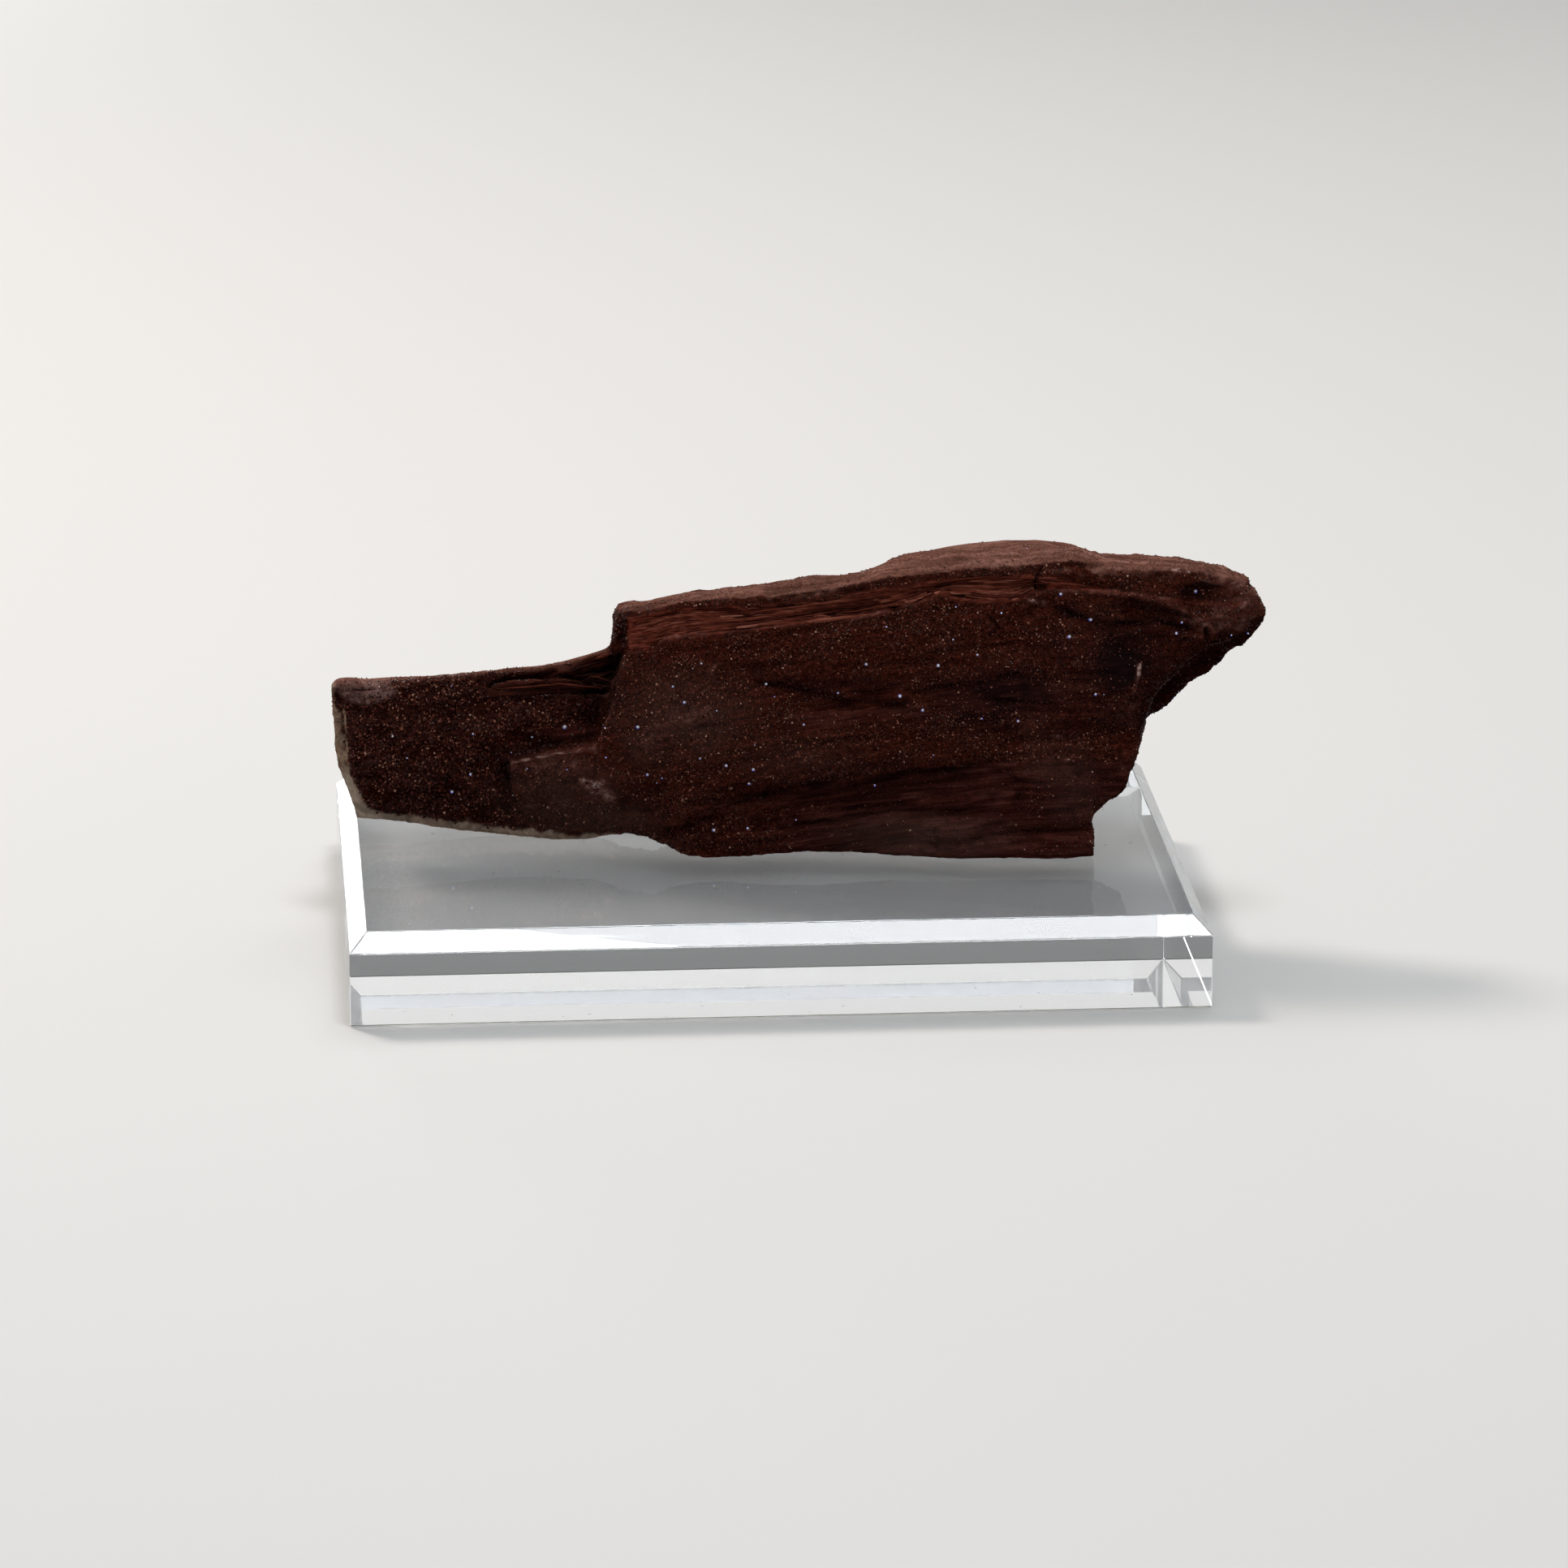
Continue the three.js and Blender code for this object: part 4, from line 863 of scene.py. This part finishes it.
# Quartz points: glassy, wine brown where the stone shows through, to pale and bluish white, the colours of
# painted glints and sparks.
quartz, tree = finish("drusy_quartz")
tone = node(tree, "ShaderNodeAttribute", attribute_name="tone").outputs["Fac"]
lit = node(tree, "ShaderNodeAttribute", attribute_name="lit").outputs["Fac"]
lit = node(tree, "ShaderNodeMath", {0: lit, 1: 0.6}, operation="MULTIPLY")
colour = node(
    tree,
    "ShaderNodeValToRGB",
    {0: tone},
    stops=[
        (0.0, "#220a06"), (0.5, "#3e150d"), (0.76, "#683427"), (0.9, "#966350"), (0.95, "#bc9480"),
        (0.96, "#2a34c8"), (0.971, "#6e7bff"), (0.983, "#ffffff"),
    ],
)
# Crystals on faces turned up are painted lighter, as if lit from above.
colour = node(tree, "ShaderNodeMix", {0: lit, 6: colour, 7: "#80503f"}, data_type="RGBA").outputs[2]
surface = node(
    tree,
    "ShaderNodeBsdfPrincipled",
    {"Base Color": colour, "Roughness": 0.3, "IOR": 1.544, "Specular IOR Level": 0.14},
)
node(tree, "ShaderNodeOutputMaterial", {"Surface": surface})


def plant(name, foot, lean, radius, tone, top_light):
    """Joins a crystal for each foot, leaning that way, into one mesh. Radii are in metres."""
    side = np.cross(lean, lean[:, [1, 2, 0]] + (0.3, 0, 0))
    side /= np.linalg.norm(side, axis=1)[:, None]
    axes = np.stack([side, np.cross(lean, side), lean], axis=1)
    points = foot[:, None] + radius[:, None, None] * np.einsum("pk,nkd->npd", point, axes)
    faces = np.arange(len(foot))[:, None, None] * len(point) + point_faces
    mesh = bpy.data.meshes.new(name)
    mesh.from_pydata(points.reshape(-1, 3).tolist(), [], faces.reshape(-1, 3).tolist())
    # A spark is painted as a glint: blue at its foot and white at its point.
    tones = tone[:, None] + np.where(tone >= SPARK_TONE, SPARK_POINT, 0)[:, None] * (point[:, 2] > 0.5)
    top_lights = np.repeat(top_light[:, None], len(point), axis=1)
    store(mesh, tone=tones, lit=top_lights)
    piece(name, mesh, quartz)


def grow(name, number, sparks, share, small, large, dull, seed):
    """Plants crystals where share is high, from small to large radius in metres. The higher dull is, the
    fewer of them are painted pale as glints."""
    rng = np.random.default_rng(seed)
    chosen = rng.choice(len(corners), number, p=growth * share / (growth * share).sum())
    k1, k2 = rng.random((2, number, 1))
    flip = k1 + k2 > 1
    k1, k2 = np.where(flip, 1 - k1, k1), np.where(flip, 1 - k2, k2)
    foot = first[chosen] + k1 * (second - first)[chosen] + k2 * (third - first)[chosen]
    lean = cross[chosen] / np.linalg.norm(cross[chosen], axis=1)[:, None] + rng.normal(0, 0.5, (number, 3))
    lean /= np.linalg.norm(lean, axis=1)[:, None]
    radius = small + (large - small) * rng.random(number) ** 3
    # Crystals on the dark coat, painted shade and darker stone, are darker too.
    tone = rng.random(number) ** dull * 0.95 * (1 - 0.6 * dark[corners[chosen, 0]])
    tone[:sparks] = SPARK_TONE
    radius[:sparks] = rng.uniform(0.0002, 0.00034, sparks)
    plant(name, foot, lean, radius, tone, topside[corners[chosen, 0]])


grow("left_face_druse", 15000, 4, seen * left, 0.00013, 0.00038, 1.3, 5)
grow("plate_druse", 32000, 24, seen * (1 - left), 0.0001, 0.00031, 1.6, 6)
grow("fine_plate_druse", 32000, 0, seen * (1 - left), 0.00008, 0.00015, 1.0, 8)
grow("back_druse", 30000, 60, 1 - 0.9 * seen, 0.00014, 0.00034, 1.3, 7)

# The largest painted sparks of the front, as places along and up the wood with their radius, all in mm.
SPARKS = [
    (-78.0, 22.9, 0.42), (-60.9, 23.8, 0.34), (-41.5, 25.1, 0.6), (-48.4, 22.9, 0.34), (-61.5, 14.8, 0.4),
    (-65.5, 10.7, 0.42), (-25.8, 27.6, 0.5), (-16.0, 33.6, 0.42), (-18.4, 36.6, 0.32), (1.2, 37.6, 0.45),
    (22.2, 42.1, 0.42), (29.3, 35.4, 0.5), (-1.5, 19.6, 0.42), (-7.2, 20.3, 0.42), (-2.4, 16.4, 0.38),
    (-23.8, 17.6, 0.38), (-9.8, 6.1, 0.5), (-2.7, 6.5, 0.4), (-12.7, 21.8, 0.32), (37.3, 42.0, 0.48),
    (34.1, 32.3, 0.42), (64.8, 48.0, 0.5), (69.2, 51.8, 0.5), (62.9, 57.2, 0.4), (50.5, 53.1, 0.3),
    (45.5, 44.3, 0.34), (54.1, 30.1, 0.36), (70.4, 35.5, 0.4), (91.3, 56.4, 0.52), (88.4, 50.5, 0.36),
    (87.2, 48.5, 0.4), (-12.4, 41.7, 0.3), (9.1, 29.2, 0.3),
]
# Each is drawn this much larger, so that it shows.
SPARK_SCALE = 1.15
spark_u, spark_h, spark_size = np.array(SPARKS).T
foot = np.stack([spark_u, [depth_at(*place) for place in zip(spark_u, spark_h)], spark_h], axis=1)
foot = (foot + lift) @ turn / 1000
forward = np.tile(Vector((0, -1, 0.25)).normalized(), (len(SPARKS), 1))
plant(
    "bright_sparks", foot, forward, spark_size * SPARK_SCALE / 1000, np.full(len(SPARKS), SPARK_TONE),
    np.zeros(len(SPARKS)),
)

# ---------------------------------------------------------------------------------------------
# Dust and lint that has settled on the block: flat flecks a few tenths of a millimetre across.

FLECKS = 110
FLECK_THICKNESS = 0.00004
# How far from the block's middle they lie, along it and across it, in metres.
DUSTED_ALONG = 0.082
DUSTED_ACROSS = 0.056
rng = np.random.default_rng(21)
work = bmesh.new()
for _ in range(FLECKS):
    radius = rng.uniform(0.00006, 0.0002)
    made = bmesh.ops.create_cone(
        work, segments=6, radius1=radius, radius2=0.7 * radius, depth=FLECK_THICKNESS, cap_ends=True
    )["verts"]
    bmesh.ops.scale(work, vec=(rng.uniform(1, 3.2), 1, 1), verts=made)
    spin = Matrix.Rotation(rng.uniform(0, math.pi), 3, "Z")
    bmesh.ops.rotate(work, cent=(0, 0, 0), matrix=spin, verts=made)
    x, y = rng.uniform(-DUSTED_ALONG, DUSTED_ALONG), rng.uniform(-DUSTED_ACROSS, DUSTED_ACROSS)
    bmesh.ops.translate(work, vec=(x, y, BLOCK_SIZE[2] + FLECK_THICKNESS / 2), verts=made)
flecks = bpy.data.meshes.new("dust_flecks")
work.to_mesh(flecks)
work.free()

# Household dust: matt and grey.
dust, tree = finish("grey_dust")
place = node(tree, "ShaderNodeTexCoord").outputs["Object"]
patch = node(tree, "ShaderNodeTexNoise", {"Vector": place, "Scale": 60.0})
colour = node(tree, "ShaderNodeValToRGB", {0: patch}, stops=[(0.4, "#4a443f"), (0.6, "#b9b4ad")])
surface = node(tree, "ShaderNodeBsdfPrincipled", {"Base Color": colour, "Roughness": 0.9})
node(tree, "ShaderNodeOutputMaterial", {"Surface": surface})
piece("dust_flecks", flecks, dust)

# ---------------------------------------------------------------------------------------------
# The studio: a plain pale sweep of paper under a soft sky. A key light stands behind on the left, a
# broad one overhead, and two where the block's front and left edges mirror them. The camera looks
# down a little, square to the wood's front.

# In metres. The paper lies a hair below the block, so that their faces don't coincide.
PAPER_LEVEL = -0.0004
PAPER_FRONT = -2.5
PAPER_BACK = 2.0
PAPER_SIDE = 4.0
PAPER_CURVE = 1.5
PAPER_RISE = 2.0

paper, tree = finish("backdrop_paper")
surface = node(
    tree,
    "ShaderNodeBsdfPrincipled",
    {"Base Color": "#e4e4e2", "Roughness": 0.9, "Specular IOR Level": 0.1},
)
node(tree, "ShaderNodeOutputMaterial", {"Surface": surface})

work = bmesh.new()
near_end = [work.verts.new((x, PAPER_FRONT, PAPER_LEVEL)) for x in (-PAPER_SIDE, PAPER_SIDE)]
table = bmesh.ops.extrude_edge_only(work, edges=[work.edges.new(near_end)])["geom"]
far_end = [g for g in table if isinstance(g, bmesh.types.BMVert)]
bmesh.ops.translate(work, vec=(0, PAPER_BACK - PAPER_FRONT, 0), verts=far_end)
far_end += [g for g in table if isinstance(g, bmesh.types.BMEdge)]
curve = bmesh.ops.spin(
    work, geom=far_end, cent=(0, PAPER_BACK, PAPER_LEVEL + PAPER_CURVE), axis=(1, 0, 0),
    angle=math.radians(90), steps=24, use_merge=True,
)["geom_last"]
up = bmesh.ops.extrude_edge_only(work, edges=[g for g in curve if isinstance(g, bmesh.types.BMEdge)])["geom"]
bmesh.ops.translate(work, vec=(0, 0, PAPER_RISE), verts=[g for g in up if isinstance(g, bmesh.types.BMVert)])
bmesh.ops.recalc_face_normals(work, faces=work.faces)
sweep_mesh = bpy.data.meshes.new("paper_sweep")
work.to_mesh(sweep_mesh)
work.free()
sweep_mesh.materials.append(paper)
for polygon in sweep_mesh.polygons:
    polygon.use_smooth = True
sweep = bpy.data.objects.new("paper_sweep", sweep_mesh)
scene.collection.objects.link(sweep)

world = bpy.data.worlds.new("soft_sky")
world.use_nodes = True
sky = world.node_tree.nodes["Background"].inputs
sky["Color"].default_value = linear("#f3f5f7")
sky["Strength"].default_value = 0.28
scene.world = world


def lamp(name, spot, size, watts, colour):
    """A square soft box at a place in metres, turned to face the wood."""
    light = bpy.data.lights.new(name, "AREA")
    light.size = size
    light.energy = watts
    light.color = linear(colour)[:3]
    made = bpy.data.objects.new(name, light)
    made.location = spot
    made.rotation_euler = (Vector(spot) - Vector((0, 0, 0.05))).to_track_quat("Z", "Y").to_euler()
    scene.collection.objects.link(made)


lamp("key", (-0.75, 0.75, 1.25), 0.35, 11, "#fff6ee")
lamp("overhead", (0.2, 0.9, 1.7), 1.4, 9, "#ffffff")
lamp("above", (0.1, -0.43, 1.43), 0.36, 7, "#f8faff")
lamp("low_behind", (-0.46, 1.5, 0.2), 0.4, 2, "#ffffff")

CAMERA_PLACE = (-0.1172355, -1.6459925, 0.5061182)
CAMERA_DOWN = math.radians(16.045)
CAMERA_TURN = math.radians(-4.246)
CAMERA_LENS = 185.777

view = bpy.data.cameras.new("camera")
view.lens = CAMERA_LENS
view.sensor_width = 36
view.clip_end = 20
camera = bpy.data.objects.new("camera", view)
camera.location = CAMERA_PLACE
camera.rotation_euler = (math.radians(90) - CAMERA_DOWN, 0, CAMERA_TURN)
scene.collection.objects.link(camera)
scene.camera = camera
scene.view_settings.view_transform = "Standard"
# Light takes many turns inside the clear block before it leaves.
BOUNCES = 128
scene.cycles.max_bounces = BOUNCES
scene.cycles.transmission_bounces = BOUNCES
scene.cycles.glossy_bounces = BOUNCES
